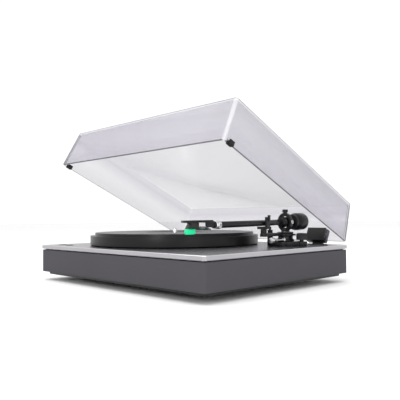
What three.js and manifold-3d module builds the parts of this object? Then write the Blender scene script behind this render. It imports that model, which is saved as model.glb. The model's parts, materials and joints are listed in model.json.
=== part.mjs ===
// A belt-driven turntable record player: plinth, platter, gimbal tonearm and hinged clear lid.
// Millimetres, +Z up, front towards -Y. Heights named "over plate" are measured from the top plate.
import * as THREE from "three";
import { mergeVertices } from "three/addons/utils/BufferGeometryUtils.js";
import Module from "manifold-3d";

const wasm = await Module();
wasm.setup();

// ---------- driving dimensions ----------
const PLATE_WIDTH = 435;
const PLATE_DEPTH = 350;
const PLATE_THICKNESS = 7;
const PLATE_CHAMFER = 1;
const CORNER_RADIUS = 6;
const OVERHANG = 1; // the plate stands out past the plinth
const SHADOW_GAP = 1.5;
const SHADOW_INSET = 5;
const PLINTH_HEIGHT = 40;
const PLINTH_WALL = 16;
const DECK_THICKNESS = 12;
const GROUND_CLEARANCE = 15;
const COVER_THICKNESS = 5;
const COVER_INSET = 9;
const FOOT_RADIUS = 21;
const FOOT_INSET = 80;

const PIVOT_X = PLATE_WIDTH / 2 - 67.5; // the tonearm stands at the right rear
const PIVOT_Y = PLATE_DEPTH / 2 - 89;
const PLATTER_X = PIVOT_X - 194;
const PLATTER_Y = PIVOT_Y - 81;
const PLATTER_RADIUS = 154.5;
const PLATTER_GAP = 1.2;
const PLATTER_STEP = 17.4; // over plate
const PLATTER_TOP = 22.6; // over plate
const UPPER_RADIUS = 146;
const LABEL_RADIUS = 52;
const LABEL_DEPTH = 0.8;
const SPINDLE_RADIUS = 3.55;
const SPINDLE_TOP = 30; // over plate
const RECESS_RADIUS = 101;
const SUB_RADIUS = 70;
const SUB_BASE = 2.4; // over plate
const SUB_HEIGHT = 7.2;
const PULLEY_RADIUS = 5.5;
const PULLEY_DISTANCE = 86;
const PULLEY_DIRECTION = THREE.MathUtils.degToRad(215);
const BELT_WIDTH = 4.5;
const BELT_THICKNESS = 0.8;
const HOUSING_RADIUS = 11;
const HOUSING_DEPTH = 41; // below plate top
const MOTOR_RADIUS = 17;
const MOTOR_HEIGHT = 21;

const PIVOT_HEIGHT = 40; // over plate
const PARK_ANGLE = THREE.MathUtils.degToRad(4.5); // tube points outwards when parked
const DROOP = THREE.MathUtils.degToRad(0.7);
const HEADSHELL_OFFSET = THREE.MathUtils.degToRad(23.6);
const TUBE_RADIUS = 4.9;
const TUBE_WALL = 1.2;
const ARM_BASE_RADIUS = 31;
const ARM_BASE_HEIGHT = 7.6;
const YOKE_RADIUS = 15.5; // up and down; the ring is narrower sideways
const YOKE_SIDE = 13;
const YOKE_BORE = 10.4;
const YOKE_BORE_SIDE = 9.4;
const YOKE_WIDTH = 9;
const PILLAR_TOP = 23.2; // over plate
const SHAFT_RADIUS = 3;
const BEARING_RADIUS = 7;
const BEARING_WIDTH = 5;
const REST_REACH = 65;
const LIFT_RADIUS = 36;
const LIFT_BAR_TOP = 32.8; // over plate, lever down
const WEIGHT_RADIUS = 15.2;
const WEIGHT_LENGTH = 33;
const WEIGHT_START = 24; // behind the pivot
const DIAL_OFFSET_X = 29;
const DIAL_OFFSET_Y = 6;
const DIAL_RADIUS = 9;
const DIAL_TOP = 21.5; // over plate
const LEVER_OFFSET_X = 15;
const LEVER_OFFSET_Y = -25;
const LEVER_HEIGHT = 11; // over plate
const LEVER_LENGTH = 30;
const LEVER_KNOB_RADIUS = 5;

const LID_INSET = 3.4;
const LID_REAR_INSET = 4;
const LID_HEIGHT = 71;
const LID_WALL = 3;
const LID_CORNER = 5;
const LID_DRAFT_SIDE = 5.4; // each side leans in this much over the height
const LID_DRAFT_FRONT = 3;
const LID_DRAFT_REAR = 3.4;
const LID_GAP = 1.5; // rim to plate when shut
const LID_OPEN = THREE.MathUtils.degToRad(25.74);
const HINGE_X = PLATE_WIDTH / 2 - 65.5;
const HINGE_BEHIND = 5.5; // axis behind the plate's rear edge
const HINGE_BELOW = 5.8; // axis below the plate's top
const HINGE_RADIUS = 4.5;
const HINGE_PIN_RADIUS = 1.8;
const CLAMP_WIDTH = 38;
const CLAMP_HEIGHT = 23.5; // above the rim
const CLAMP_INSIDE = 4; // how far it stands into the lid
const KNUCKLE_WIDTH = 20;
const BUMPER_SETBACK = 15;
const BUTTON_RADIUS = 7;

// ---------- clearances ----------
const SEAT = 0.1; // between faces that rest on each other
const FIT = 0.3; // around a piece let into another
const RUNNING = 0.1; // around a turning shaft

// ---------- how round things are ----------
const LARGE_ROUND = 64;
const ROUND = 28;
const SMALL_ROUND = 18;
const TINY_ROUND = 10;

// ---------- levels ----------
const PLINTH_BASE = GROUND_CLEARANCE;
const PLINTH_TOP = PLINTH_BASE + PLINTH_HEIGHT;
const PLATE_BASE = PLINTH_TOP + SHADOW_GAP;
const PLATE_TOP = PLATE_BASE + PLATE_THICKNESS;
const DECK_BASE = PLINTH_TOP - DECK_THICKNESS;
const HALF_TURN = Math.PI;
const PULLEY_X = PLATTER_X + PULLEY_DISTANCE * Math.cos(PULLEY_DIRECTION);
const PULLEY_Y = PLATTER_Y + PULLEY_DISTANCE * Math.sin(PULLEY_DIRECTION);

// ---------- solids ----------
function toSolid(geometry) {
  const bare = geometry.index ? geometry.toNonIndexed() : geometry.clone();
  bare.deleteAttribute("normal");
  bare.deleteAttribute("uv");
  const merged = mergeVertices(bare, 1e-4);
  const triVerts = new Uint32Array(merged.index.array);
  const vertProperties = merged.attributes.position.array;
  const solid = new wasm.Manifold(new wasm.Mesh({ numProp: 3, vertProperties, triVerts }));
  if (solid.volume() > 0) return solid;
  for (let i = 0; i < triVerts.length; i += 3) {
    [triVerts[i + 1], triVerts[i + 2]] = [triVerts[i + 2], triVerts[i + 1]];
  }
  return new wasm.Manifold(new wasm.Mesh({ numProp: 3, vertProperties, triVerts }));
}

function toGeometry(solid) {
  const mesh = solid.getMesh();
  const geometry = new THREE.BufferGeometry();
  const positions = new Float32Array(mesh.vertProperties);
  geometry.setAttribute("position", new THREE.BufferAttribute(positions, 3));
  geometry.setIndex(new THREE.BufferAttribute(new Uint32Array(mesh.triVerts), 1));
  const flat = geometry.toNonIndexed();
  flat.computeVertexNormals();
  return flat;
}

const join = (first, ...others) => others.reduce((sum, next) => sum.add(next), first);
const cut = (first, ...tools) => tools.reduce((rest, tool) => rest.subtract(tool), first);

// A box given by its lowest and highest corners.
function block(low, high) {
  const size = high.map((value, i) => value - low[i]);
  const middle = high.map((value, i) => (value + low[i]) / 2);
  return toSolid(new THREE.BoxGeometry(...size).translate(...middle));
}

// An upright cylinder or cone between two heights.
function disc(x, y, radius, base, top, sides = ROUND, topRadius = radius) {
  const shape = new THREE.CylinderGeometry(topRadius, radius, top - base, sides);
  return toSolid(shape.rotateX(HALF_TURN / 2).translate(x, y, (base + top) / 2));
}

// A round bar between two points.
function rod(from, to, radius, sides = SMALL_ROUND, endRadius = radius) {
  const start = new THREE.Vector3(...from);
  const end = new THREE.Vector3(...to);
  const along = end.clone().sub(start);
  const shape = new THREE.CylinderGeometry(endRadius, radius, along.length(), sides);
  const turn = new THREE.Quaternion();
  turn.setFromUnitVectors(new THREE.Vector3(0, 1, 0), along.clone().normalize());
  const middle = start.add(end).multiplyScalar(0.5);
  return toSolid(shape.applyQuaternion(turn).translate(middle.x, middle.y, middle.z));
}

// A profile of [radius, height] points turned about the upright line through x, y.
function turned(x, y, profile, sides = ROUND) {
  const points = profile.map(([radius, height]) => new THREE.Vector2(radius, height));
  const shape = new THREE.LatheGeometry(points, sides);
  return toSolid(shape.rotateX(HALF_TURN / 2).translate(x, y, 0));
}

// A profile of [radius, distance] points turned about the Y axis.
function turnedAlongY(profile, sides = ROUND) {
  const points = profile.map(([radius, along]) => new THREE.Vector2(radius, along));
  return toSolid(new THREE.LatheGeometry(points, sides));
}

function roundedOutline(width, depth, radius) {
  const x = width / 2;
  const y = depth / 2;
  const outline = new THREE.Shape();
  outline.absarc(x - radius, y - radius, radius, 0, HALF_TURN / 2);
  outline.absarc(radius - x, y - radius, radius, HALF_TURN / 2, HALF_TURN);
  outline.absarc(radius - x, radius - y, radius, HALF_TURN, HALF_TURN * 1.5);
  outline.absarc(x - radius, radius - y, radius, HALF_TURN * 1.5, HALF_TURN * 2);
  return outline;
}

// A flat slab with rounded corners, and a chamfer on its top and bottom edges if one is given.
function slab(width, depth, radius, base, top, chamfer = 0, curveSegments = 3) {
  const shape = new THREE.ExtrudeGeometry(roundedOutline(width, depth, radius), {
    depth: top - base - 2 * chamfer,
    bevelEnabled: chamfer > 0,
    bevelThickness: chamfer,
    bevelSize: chamfer,
    bevelOffset: -chamfer,
    bevelSegments: 1,
    curveSegments,
  });
  return toSolid(shape.translate(0, 0, base + chamfer));
}

// Part of a flat ring, between two angles measured from +X.
function ringSector(radius, width, from, to, base, top, curveSegments = 10) {
  const outline = new THREE.Shape();
  outline.absarc(0, 0, radius + width / 2, from, to, false);
  outline.absarc(0, 0, radius - width / 2, to, from, true);
  const options = { depth: top - base, bevelEnabled: false, curveSegments };
  return toSolid(new THREE.ExtrudeGeometry(outline, options).translate(0, 0, base));
}

// ---------- finishes ----------
const finish = (color, roughness, metalness) =>
  new THREE.MeshStandardMaterial({ color, roughness, metalness });
const PLINTH_GREY = finish(0x55535a, 0.55, 0.1);
const PLATE_METAL = finish(0xa8a6aa, 0.35, 0.9);
const BLACK_PLASTIC = finish(0x151517, 0.5, 0);
const BLACK_METAL = finish(0x1b1b1e, 0.35, 0.7);
const STEEL = finish(0xbfc1c4, 0.25, 1);
const BRASS = finish(0xb08d4a, 0.35, 1);
const RUBBER = finish(0x0e0e0f, 0.9, 0);
const PLATTER_BLACK = finish(0x242427, 0.45, 0);
const STYLUS_GREEN = finish(0x0fd98a, 0.4, 0);
const BOARD_GREEN = finish(0x1d5a35, 0.6, 0);
const CLEAR_TINT = new THREE.MeshStandardMaterial({
  color: 0xd8d5de,
  roughness: 0.08,
  metalness: 0,
  transparent: true,
  opacity: 0.3,
});

const turntable = new THREE.Group();
const bothSides = { left: -1, right: 1 };

function piece(name, solid, material, parent = turntable) {
  const mesh = new THREE.Mesh(toGeometry(solid), material);
  mesh.name = name;
  parent.add(mesh);
  return mesh;
}

// ---------- plinth, plate and base ----------
function makePlinth() {
  const width = PLATE_WIDTH - 2 * OVERHANG;
  const depth = PLATE_DEPTH - 2 * OVERHANG;
  const shell = slab(width, depth, CORNER_RADIUS, PLINTH_BASE, PLINTH_TOP, PLATE_CHAMFER);
  const inset = 2 * SHADOW_INSET;
  const land = slab(width - inset, depth - inset, CORNER_RADIUS, PLINTH_TOP - 1, PLATE_BASE - SEAT);
  const insideWidth = width - 2 * PLINTH_WALL;
  const insideDepth = depth - 2 * PLINTH_WALL;
  const cavity = slab(insideWidth, insideDepth, CORNER_RADIUS, PLINTH_BASE - 1, DECK_BASE);
  const bearingHole = disc(PLATTER_X, PLATTER_Y, HOUSING_RADIUS + FIT, DECK_BASE - 1, PLATE_BASE);
  const motorHole = disc(PULLEY_X, PULLEY_Y, PULLEY_RADIUS + 3, DECK_BASE - 1, PLATE_BASE);
  const pockets = buttonPlaces.map(([x, y]) =>
    disc(x, y, BUTTON_RADIUS + FIT, PLATE_BASE - BUTTON_POCKET, PLATE_BASE + 1, SMALL_ROUND));
  const rear = depth / 2;
  const [low, high] = panelOpening();
  const windowLow = [low[0] + 3, rear - PLINTH_WALL - 1, low[2] + 3];
  const window = block(windowLow, [high[0] - 3, rear + 1, high[2] - 3]);
  const rebate = block([low[0], rear - PANEL_THICKNESS - FIT, low[2]], [high[0], rear + 1, high[2]]);
  return cut(join(shell, land), cavity, bearingHole, motorHole, ...pockets, window, rebate);
}

const BUTTON_POCKET = 9;
const BUTTON_PROUD = 0.6;
const BUTTON_TRAVEL = 1.5;
const BUTTON_Y = 28 - PLATE_DEPTH / 2;
const buttonPlaces = [30.5, 55.5].map((fromLeft) => [fromLeft - PLATE_WIDTH / 2, BUTTON_Y]);
const buttonNames = ["power_button", "speed_button"];
const PANEL_WIDTH = 124;
const PANEL_HEIGHT = 26;
const PANEL_THICKNESS = 2;
const PANEL_X = 40;
const PANEL_Z = (PLINTH_BASE + DECK_BASE) / 2 + 1;
const PLINTH_REAR = PLATE_DEPTH / 2 - OVERHANG;

function panelOpening() {
  const halfWidth = PANEL_WIDTH / 2 + FIT;
  const halfHeight = PANEL_HEIGHT / 2 + FIT;
  return [
    [PANEL_X - halfWidth, 0, PANEL_Z - halfHeight],
    [PANEL_X + halfWidth, 0, PANEL_Z + halfHeight],
  ];
}

function makePlate() {
  const plate = slab(PLATE_WIDTH, PLATE_DEPTH, CORNER_RADIUS, PLATE_BASE, PLATE_TOP, PLATE_CHAMFER);
  const holes = [
    disc(PLATTER_X, PLATTER_Y, HOUSING_RADIUS + FIT, PLATE_BASE - 1, PLATE_TOP + 1),
    disc(PULLEY_X, PULLEY_Y, PULLEY_RADIUS + 3, PLATE_BASE - 1, PLATE_TOP + 1, SMALL_ROUND),
    ...buttonPlaces.map(([x, y]) =>
      disc(x, y, BUTTON_RADIUS + FIT, PLATE_BASE - 1, PLATE_TOP + 1, SMALL_ROUND)),
  ];
  return cut(plate, ...holes);
}

function makeBottomCover() {
  const width = PLATE_WIDTH - 2 * (OVERHANG + COVER_INSET);
  const depth = PLATE_DEPTH - 2 * (OVERHANG + COVER_INSET);
  return slab(width, depth, CORNER_RADIUS, PLINTH_BASE - SEAT - COVER_THICKNESS, PLINTH_BASE - SEAT, 1);
}

function makeFoot(x, y) {
  const top = PLINTH_BASE - COVER_THICKNESS - 2 * SEAT;
  const profile = [
    [0, 0],
    [FOOT_RADIUS - 3, 0],
    [FOOT_RADIUS, 2.5],
    [FOOT_RADIUS, 5],
    [FOOT_RADIUS - 5, 7],
    [FOOT_RADIUS - 5, top],
    [0, top],
  ];
  return turned(x, y, profile, ROUND);
}

piece("plinth", makePlinth(), PLINTH_GREY);
piece("top_plate", makePlate(), PLATE_METAL);
piece("bottom_cover", makeBottomCover(), BLACK_PLASTIC);
for (const [side, sx] of Object.entries(bothSides)) {
  const x = sx * (PLATE_WIDTH / 2 - FOOT_INSET);
  const y = PLATE_DEPTH / 2 - FOOT_INSET;
  piece(`foot_front_${side}`, makeFoot(x, -y), RUBBER);
  piece(`foot_rear_${side}`, makeFoot(x, y), RUBBER);
}

buttonPlaces.forEach(([x, y], i) => {
  const base = PLATE_BASE - BUTTON_POCKET + BUTTON_TRAVEL + 0.5;
  const rim = PLATE_TOP + BUTTON_PROUD;
  const profile = [
    [0, base],
    [BUTTON_RADIUS, base],
    [BUTTON_RADIUS, rim - 0.5],
    [BUTTON_RADIUS - 0.5, rim],
    [0, rim],
  ];
  piece(buttonNames[i], turned(x, y, profile, SMALL_ROUND), BLACK_PLASTIC);
});

// ---------- rear connections ----------
const JACK_HEX = 5.6;
const JACK_THREAD = 3.2;
const jackPlaces = { signal_jack_left: PANEL_X - 20, signal_jack_right: PANEL_X };
const EARTH_X = PANEL_X + 22;
const INLET_X = PANEL_X - 48;
const INLET_BORE = 3.2;
const PANEL_FACE = PLINTH_REAR - SEAT;
const PANEL_BACK = PANEL_FACE - PANEL_THICKNESS;

function alongY(x, z, radius, from, to, sides = SMALL_ROUND) {
  return rod([x, from, z], [x, to, z], radius, sides);
}

function makePanel() {
  const [low, high] = panelOpening();
  const panel = block([low[0] + FIT, PANEL_BACK, low[2] + FIT], [high[0] - FIT, PANEL_FACE, high[2] - FIT]);
  const hole = (x, radius) => alongY(x, PANEL_Z, radius + FIT, PANEL_BACK - 1, PANEL_FACE + 1);
  const jackHoles = Object.values(jackPlaces).map((x) => hole(x, JACK_THREAD));
  return cut(panel, ...jackHoles, hole(EARTH_X, 2), hole(INLET_X, INLET_BORE + 1.6));
}

function makeJack(x) {
  const nut = alongY(x, PANEL_Z, JACK_HEX, PANEL_FACE + SEAT, PANEL_FACE + 2.5, 6);
  const barrel = alongY(x, PANEL_Z, 4.1, PANEL_FACE + 2, PANEL_FACE + 9);
  const stem = alongY(x, PANEL_Z, JACK_THREAD, PANEL_BACK - 6, PANEL_FACE + 3);
  const socket = alongY(x, PANEL_Z, 1.6, PANEL_FACE - 1, PANEL_FACE + 10, TINY_ROUND);
  return cut(join(nut, barrel, stem), socket);
}

function makeEarthPost() {
  const stem = alongY(EARTH_X, PANEL_Z, 2, PANEL_BACK - 5, PANEL_FACE + 12, TINY_ROUND);
  const washer = alongY(EARTH_X, PANEL_Z, 5, PANEL_FACE + SEAT, PANEL_FACE + 1.2);
  const nut = alongY(EARTH_X, PANEL_Z, 4.5, PANEL_FACE + 3, PANEL_FACE + 10);
  return join(stem, washer, nut);
}

function makeInlet() {
  const body = alongY(INLET_X, PANEL_Z, INLET_BORE + 1.6, PANEL_BACK - 9, PANEL_FACE + 1);
  const rim = alongY(INLET_X, PANEL_Z, INLET_BORE + 2.6, PANEL_FACE + SEAT, PANEL_FACE + 1.5);
  const bore = alongY(INLET_X, PANEL_Z, INLET_BORE, PANEL_BACK - 6, PANEL_FACE + 2);
  return cut(join(body, rim), bore);
}

piece("rear_panel", makePanel(), BLACK_PLASTIC);
for (const [name, x] of Object.entries(jackPlaces)) piece(name, makeJack(x), BRASS);
piece("earth_post", makeEarthPost(), STEEL);
piece("power_inlet", makeInlet(), BLACK_PLASTIC);

// ---------- platter, bearing and drive ----------
const HOUSING_BASE = PLATE_TOP - HOUSING_DEPTH;
const HUB_BASE = PLATE_TOP + SUB_BASE;
const SUB_TOP = HUB_BASE + SUB_HEIGHT;
const BALL_RADIUS = 2.5;
const HOUSING_FLOOR = HOUSING_BASE + 4;

function makeHousing() {
  const tube = disc(PLATTER_X, PLATTER_Y, HOUSING_RADIUS, HOUSING_BASE, PLATE_TOP + 1.5);
  const flangeTop = DECK_BASE - SEAT;
  const flange = disc(PLATTER_X, PLATTER_Y, 2 * HOUSING_RADIUS, flangeTop - 4, flangeTop);
  const boreRadius = SPINDLE_RADIUS + RUNNING;
  const bore = disc(PLATTER_X, PLATTER_Y, boreRadius, HOUSING_FLOOR, PLATE_TOP + 2, LARGE_ROUND);
  return cut(join(tube, flange), bore);
}

function makeBall() {
  const centre = HOUSING_FLOOR + BALL_RADIUS + SEAT;
  const ball = new THREE.SphereGeometry(BALL_RADIUS, TINY_ROUND, 10).rotateX(HALF_TURN / 2);
  return toSolid(ball.translate(PLATTER_X, PLATTER_Y, centre));
}

function makeSpindle() {
  const top = PLATE_TOP + SPINDLE_TOP;
  const profile = [
    [0, HOUSING_FLOOR + 2 * BALL_RADIUS + 2 * SEAT],
    [SPINDLE_RADIUS, HOUSING_FLOOR + 2 * BALL_RADIUS + 1],
    [SPINDLE_RADIUS, top - 2.5],
    [SPINDLE_RADIUS - 1, top - 0.8],
    [0, top],
  ];
  return turned(PLATTER_X, PLATTER_Y, profile, ROUND);
}

function makeSubPlatter() {
  const profile = [
    [SPINDLE_RADIUS + SEAT, HUB_BASE],
    [SUB_RADIUS, HUB_BASE],
    [SUB_RADIUS, SUB_TOP],
    [SPINDLE_RADIUS + SEAT, SUB_TOP],
    [SPINDLE_RADIUS + SEAT, HUB_BASE],
  ];
  return turned(PLATTER_X, PLATTER_Y, profile, ROUND);
}

// Two tiers above a recess for the sub-platter and the belt, with a shallow dish for the record's label.
function makePlatter() {
  const at = (height) => PLATE_TOP + height;
  const inner = SPINDLE_RADIUS + FIT;
  const ceiling = SUB_TOP + SEAT;
  const profile = [
    [inner, ceiling],
    [RECESS_RADIUS, ceiling],
    [RECESS_RADIUS, at(PLATTER_GAP)],
    [PLATTER_RADIUS - 1, at(PLATTER_GAP)],
    [PLATTER_RADIUS, at(PLATTER_GAP + 1)],
    [PLATTER_RADIUS, at(PLATTER_STEP - 0.8)],
    [PLATTER_RADIUS - 0.8, at(PLATTER_STEP)],
    [UPPER_RADIUS, at(PLATTER_STEP)],
    [UPPER_RADIUS, at(PLATTER_TOP - 0.8)],
    [UPPER_RADIUS - 0.8, at(PLATTER_TOP)],
    [LABEL_RADIUS, at(PLATTER_TOP)],
    [LABEL_RADIUS - 1, at(PLATTER_TOP - LABEL_DEPTH)],
    [inner, at(PLATTER_TOP - LABEL_DEPTH)],
    [inner, ceiling],
  ];
  return turned(PLATTER_X, PLATTER_Y, profile, LARGE_ROUND);
}

const BELT_MIDDLE = HUB_BASE + SUB_HEIGHT / 2;

// The belt's outline grown by a margin: two arcs joined by the straight runs that touch both.
function beltOutline(margin) {
  const large = SUB_RADIUS + margin;
  const small = PULLEY_RADIUS + margin;
  const lean = Math.acos((SUB_RADIUS - PULLEY_RADIUS) / PULLEY_DISTANCE);
  const outline = new THREE.Shape();
  const start = PULLEY_DIRECTION + lean;
  const end = PULLEY_DIRECTION - lean + 2 * HALF_TURN;
  outline.absarc(PLATTER_X, PLATTER_Y, large, start, end, false);
  outline.absarc(PULLEY_X, PULLEY_Y, small, PULLEY_DIRECTION - lean, PULLEY_DIRECTION + lean, false);
  return outline;
}

function makeBelt() {
  const extrude = (margin, height) =>
    toSolid(new THREE.ExtrudeGeometry(beltOutline(margin), {
      depth: height,
      bevelEnabled: false,
      curveSegments: 24,
    }).translate(0, 0, BELT_MIDDLE - height / 2));
  return cut(extrude(FIT + BELT_THICKNESS, BELT_WIDTH), extrude(FIT, BELT_WIDTH + 2));
}

const MOTOR_TOP = DECK_BASE - 2 * SEAT - 2;
const MOTOR_SHAFT_RADIUS = 1.5;

function makeMotor() {
  const can = disc(PULLEY_X, PULLEY_Y, MOTOR_RADIUS, MOTOR_TOP - MOTOR_HEIGHT, MOTOR_TOP);
  const boss = disc(PULLEY_X, PULLEY_Y, 5, MOTOR_TOP - 1, MOTOR_TOP + 2, SMALL_ROUND);
  const boreRadius = MOTOR_SHAFT_RADIUS + FIT;
  const bore = disc(PULLEY_X, PULLEY_Y, boreRadius, MOTOR_TOP - 12, MOTOR_TOP + 3, SMALL_ROUND);
  return cut(join(can, boss), bore);
}

function makeMotorBracket() {
  const top = DECK_BASE - SEAT;
  const half = MOTOR_RADIUS + 8;
  const low = [PULLEY_X - half, PULLEY_Y - MOTOR_RADIUS, top - 2 + SEAT];
  const plate = block(low, [PULLEY_X + half, PULLEY_Y + MOTOR_RADIUS, top]);
  return cut(plate, disc(PULLEY_X, PULLEY_Y, PULLEY_RADIUS + 1, top - 4, top + 1, SMALL_ROUND));
}

function makePulley() {
  const flange = PULLEY_RADIUS + 1.6;
  const half = BELT_WIDTH / 2 + 0.4;
  const profile = [
    [MOTOR_SHAFT_RADIUS + SEAT, BELT_MIDDLE - half - 0.8],
    [flange, BELT_MIDDLE - half - 0.8],
    [flange, BELT_MIDDLE - half],
    [PULLEY_RADIUS, BELT_MIDDLE - half],
    [PULLEY_RADIUS, BELT_MIDDLE + half],
    [MOTOR_SHAFT_RADIUS + SEAT, BELT_MIDDLE + half],
    [MOTOR_SHAFT_RADIUS + SEAT, BELT_MIDDLE - half - 0.8],
  ];
  return turned(PULLEY_X, PULLEY_Y, profile, SMALL_ROUND);
}

function makeMotorShaft() {
  return disc(PULLEY_X, PULLEY_Y, MOTOR_SHAFT_RADIUS, MOTOR_TOP - 11, BELT_MIDDLE + 2, TINY_ROUND);
}

const BOARD_WIDTH = 90;
const BOARD_DEPTH = 55;
const BOARD_THICKNESS = 1.6;

function makeBoard() {
  const base = PLINTH_BASE + 4;
  const rear = PLINTH_REAR - PLINTH_WALL - 12;
  const left = PLINTH_WALL + 52 - PLATE_WIDTH / 2;
  return block([left, rear - BOARD_DEPTH, base], [left + BOARD_WIDTH, rear, base + BOARD_THICKNESS]);
}

piece("bearing_housing", makeHousing(), BRASS);
piece("thrust_ball", makeBall(), STEEL);
piece("spindle", makeSpindle(), STEEL);
piece("sub_platter", makeSubPlatter(), BLACK_PLASTIC);
piece("platter", makePlatter(), PLATTER_BLACK);
piece("drive_belt", makeBelt(), RUBBER);
piece("motor", makeMotor(), STEEL);
piece("motor_bracket", makeMotorBracket(), STEEL);
piece("motor_shaft", makeMotorShaft(), STEEL);
piece("motor_pulley", makePulley(), BRASS);
piece("circuit_board", makeBoard(), BOARD_GREEN);

// ---------- tonearm base: everything here is placed from the pivot, on the plate ----------
const armBase = new THREE.Group();
armBase.position.set(PIVOT_X, PIVOT_Y, PLATE_TOP);
turntable.add(armBase);

const LEVER_SHAFT_RADIUS = 1.8;
const PILLAR_RADIUS = 12.5;
const DIAL_STEM_RADIUS = 3.5;
const DIAL_BASE = ARM_BASE_HEIGHT + 3;
const LIFT_ANGLE = THREE.MathUtils.degToRad(-90 - 25);
const LIFT_POST_REACH = 29;
const LIFT_POST_X = LIFT_POST_REACH * Math.cos(LIFT_ANGLE);
const LIFT_POST_Y = LIFT_POST_REACH * Math.sin(LIFT_ANGLE);
const LIFT_POST_RADIUS = 4.6;
const LIFT_POST_TOP = 27;
const LIFT_STEM_RADIUS = 2.2;
const BRACKET_BASE = 17;
const BRACKET_TOP = 22.4;
const LEVER_POST_WIDTH = 4;
const LEVER_POST_X = LEVER_OFFSET_X - 7;

function makeArmBase() {
  const profile = [
    [0, SEAT],
    [ARM_BASE_RADIUS, SEAT],
    [ARM_BASE_RADIUS, ARM_BASE_HEIGHT - 1],
    [ARM_BASE_RADIUS - 1, ARM_BASE_HEIGHT],
    [0, ARM_BASE_HEIGHT],
  ];
  const lobe = disc(DIAL_OFFSET_X, DIAL_OFFSET_Y, DIAL_RADIUS, SEAT, ARM_BASE_HEIGHT, ROUND);
  const stemBase = ARM_BASE_HEIGHT - 1;
  const stem = disc(DIAL_OFFSET_X, DIAL_OFFSET_Y, DIAL_STEM_RADIUS, stemBase, DIAL_TOP - 4, TINY_ROUND);
  const half = LEVER_POST_WIDTH / 2;
  const leverPost = block(
    [LEVER_POST_X - half, LEVER_OFFSET_Y - 4, ARM_BASE_HEIGHT - 1],
    [LEVER_POST_X + half, LEVER_OFFSET_Y + 4, LEVER_HEIGHT + 4],
  );
  const shaftHole = rod(
    [LEVER_POST_X - LEVER_POST_WIDTH, LEVER_OFFSET_Y, LEVER_HEIGHT],
    [LEVER_POST_X + LEVER_POST_WIDTH, LEVER_OFFSET_Y, LEVER_HEIGHT],
    LEVER_SHAFT_RADIUS + FIT,
  );
  return cut(join(turned(0, 0, profile), lobe, stem, leverPost), shaftHole);
}

// The pillar carries the swing shaft in two bearings.
function makePillar() {
  const base = ARM_BASE_HEIGHT + SEAT;
  const profile = [
    [0, base],
    [PILLAR_RADIUS + 2, base],
    [PILLAR_RADIUS + 2, base + 3],
    [PILLAR_RADIUS, base + 4],
    [PILLAR_RADIUS, PILLAR_TOP - 3],
    [PILLAR_RADIUS + 1, PILLAR_TOP - 2],
    [PILLAR_RADIUS + 1, PILLAR_TOP],
    [0, PILLAR_TOP],
  ];
  const bore = disc(0, 0, BEARING_RADIUS + FIT, base + 2, PILLAR_TOP + 1);
  return cut(turned(0, 0, profile), bore);
}

function makeBearing(base) {
  const ring = disc(0, 0, BEARING_RADIUS, base, base + BEARING_WIDTH, ROUND);
  return cut(ring, disc(0, 0, SHAFT_RADIUS + RUNNING, base - 1, base + BEARING_WIDTH + 1, ROUND));
}

// A collar clamped round the pillar, with a straight bar out to the cradle.
function makeBracket() {
  const collar = disc(0, 0, PILLAR_RADIUS + 5, BRACKET_BASE, BRACKET_TOP - 2.5);
  const bar = block([-3.5, -REST_REACH, BRACKET_BASE], [3.5, -PILLAR_RADIUS - 2, BRACKET_TOP]);
  const foot = disc(0, -REST_REACH, 6, BRACKET_BASE, BRACKET_TOP, SMALL_ROUND);
  const bore = disc(0, 0, PILLAR_RADIUS + FIT, BRACKET_BASE - 1, BRACKET_TOP + 1, LARGE_ROUND);
  return cut(join(collar, bar, foot), bore);
}

const CRADLE_FLOOR = PIVOT_HEIGHT - TUBE_RADIUS - REST_REACH * Math.sin(DROOP) - 1;
const CRADLE_HALF = TUBE_RADIUS + 0.8;
const HORN_WIDTH = 4;
const LATCH_PIN_HEIGHT = PIVOT_HEIGHT + 5.8; // above the tube, so that the shut latch clears it
const HORN_TOP = LATCH_PIN_HEIGHT + 3;
const LATCH_SLOT_HALF = 2.3;
const LATCH_SLOT_DEPTH = 7;
const CRADLE_LENGTH = 9;

// A floor under the tube and an outer horn beside it; the inner side is open, so the arm can swing in.
function makeCradle() {
  const half = CRADLE_LENGTH / 2;
  const base = BRACKET_TOP + SEAT;
  const y = -REST_REACH;
  const stem = disc(0, y, 5, base, CRADLE_FLOOR - 2, SMALL_ROUND);
  const outer = CRADLE_HALF + HORN_WIDTH;
  const floor = block([-outer, y - half, CRADLE_FLOOR - 4], [outer, y + half, CRADLE_FLOOR]);
  const horn = block([CRADLE_HALF, y - half, CRADLE_FLOOR - 4], [outer, y + half, HORN_TOP]);
  const slot = block(
    [CRADLE_HALF - 1, y - LATCH_SLOT_HALF, HORN_TOP - LATCH_SLOT_DEPTH],
    [outer + 1, y + LATCH_SLOT_HALF, HORN_TOP + 1],
  );
  const middle = CRADLE_HALF + HORN_WIDTH / 2;
  const pinHole = rod(
    [middle, y - half - 1, LATCH_PIN_HEIGHT],
    [middle, y + half + 1, LATCH_PIN_HEIGHT],
    LATCH_PIN_RADIUS + FIT,
    TINY_ROUND,
  );
  return cut(join(stem, floor, horn), slot, pinHole);
}

const LATCH_PIN_RADIUS = 0.6;
const LATCH_HALF = 2;
const LATCH_THICKNESS = 3;
const LATCH_REACH = 6;
const LATCH_RISE = 1.4; // the strap passes this far outside the pin, so that it clears the tube when shut

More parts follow.
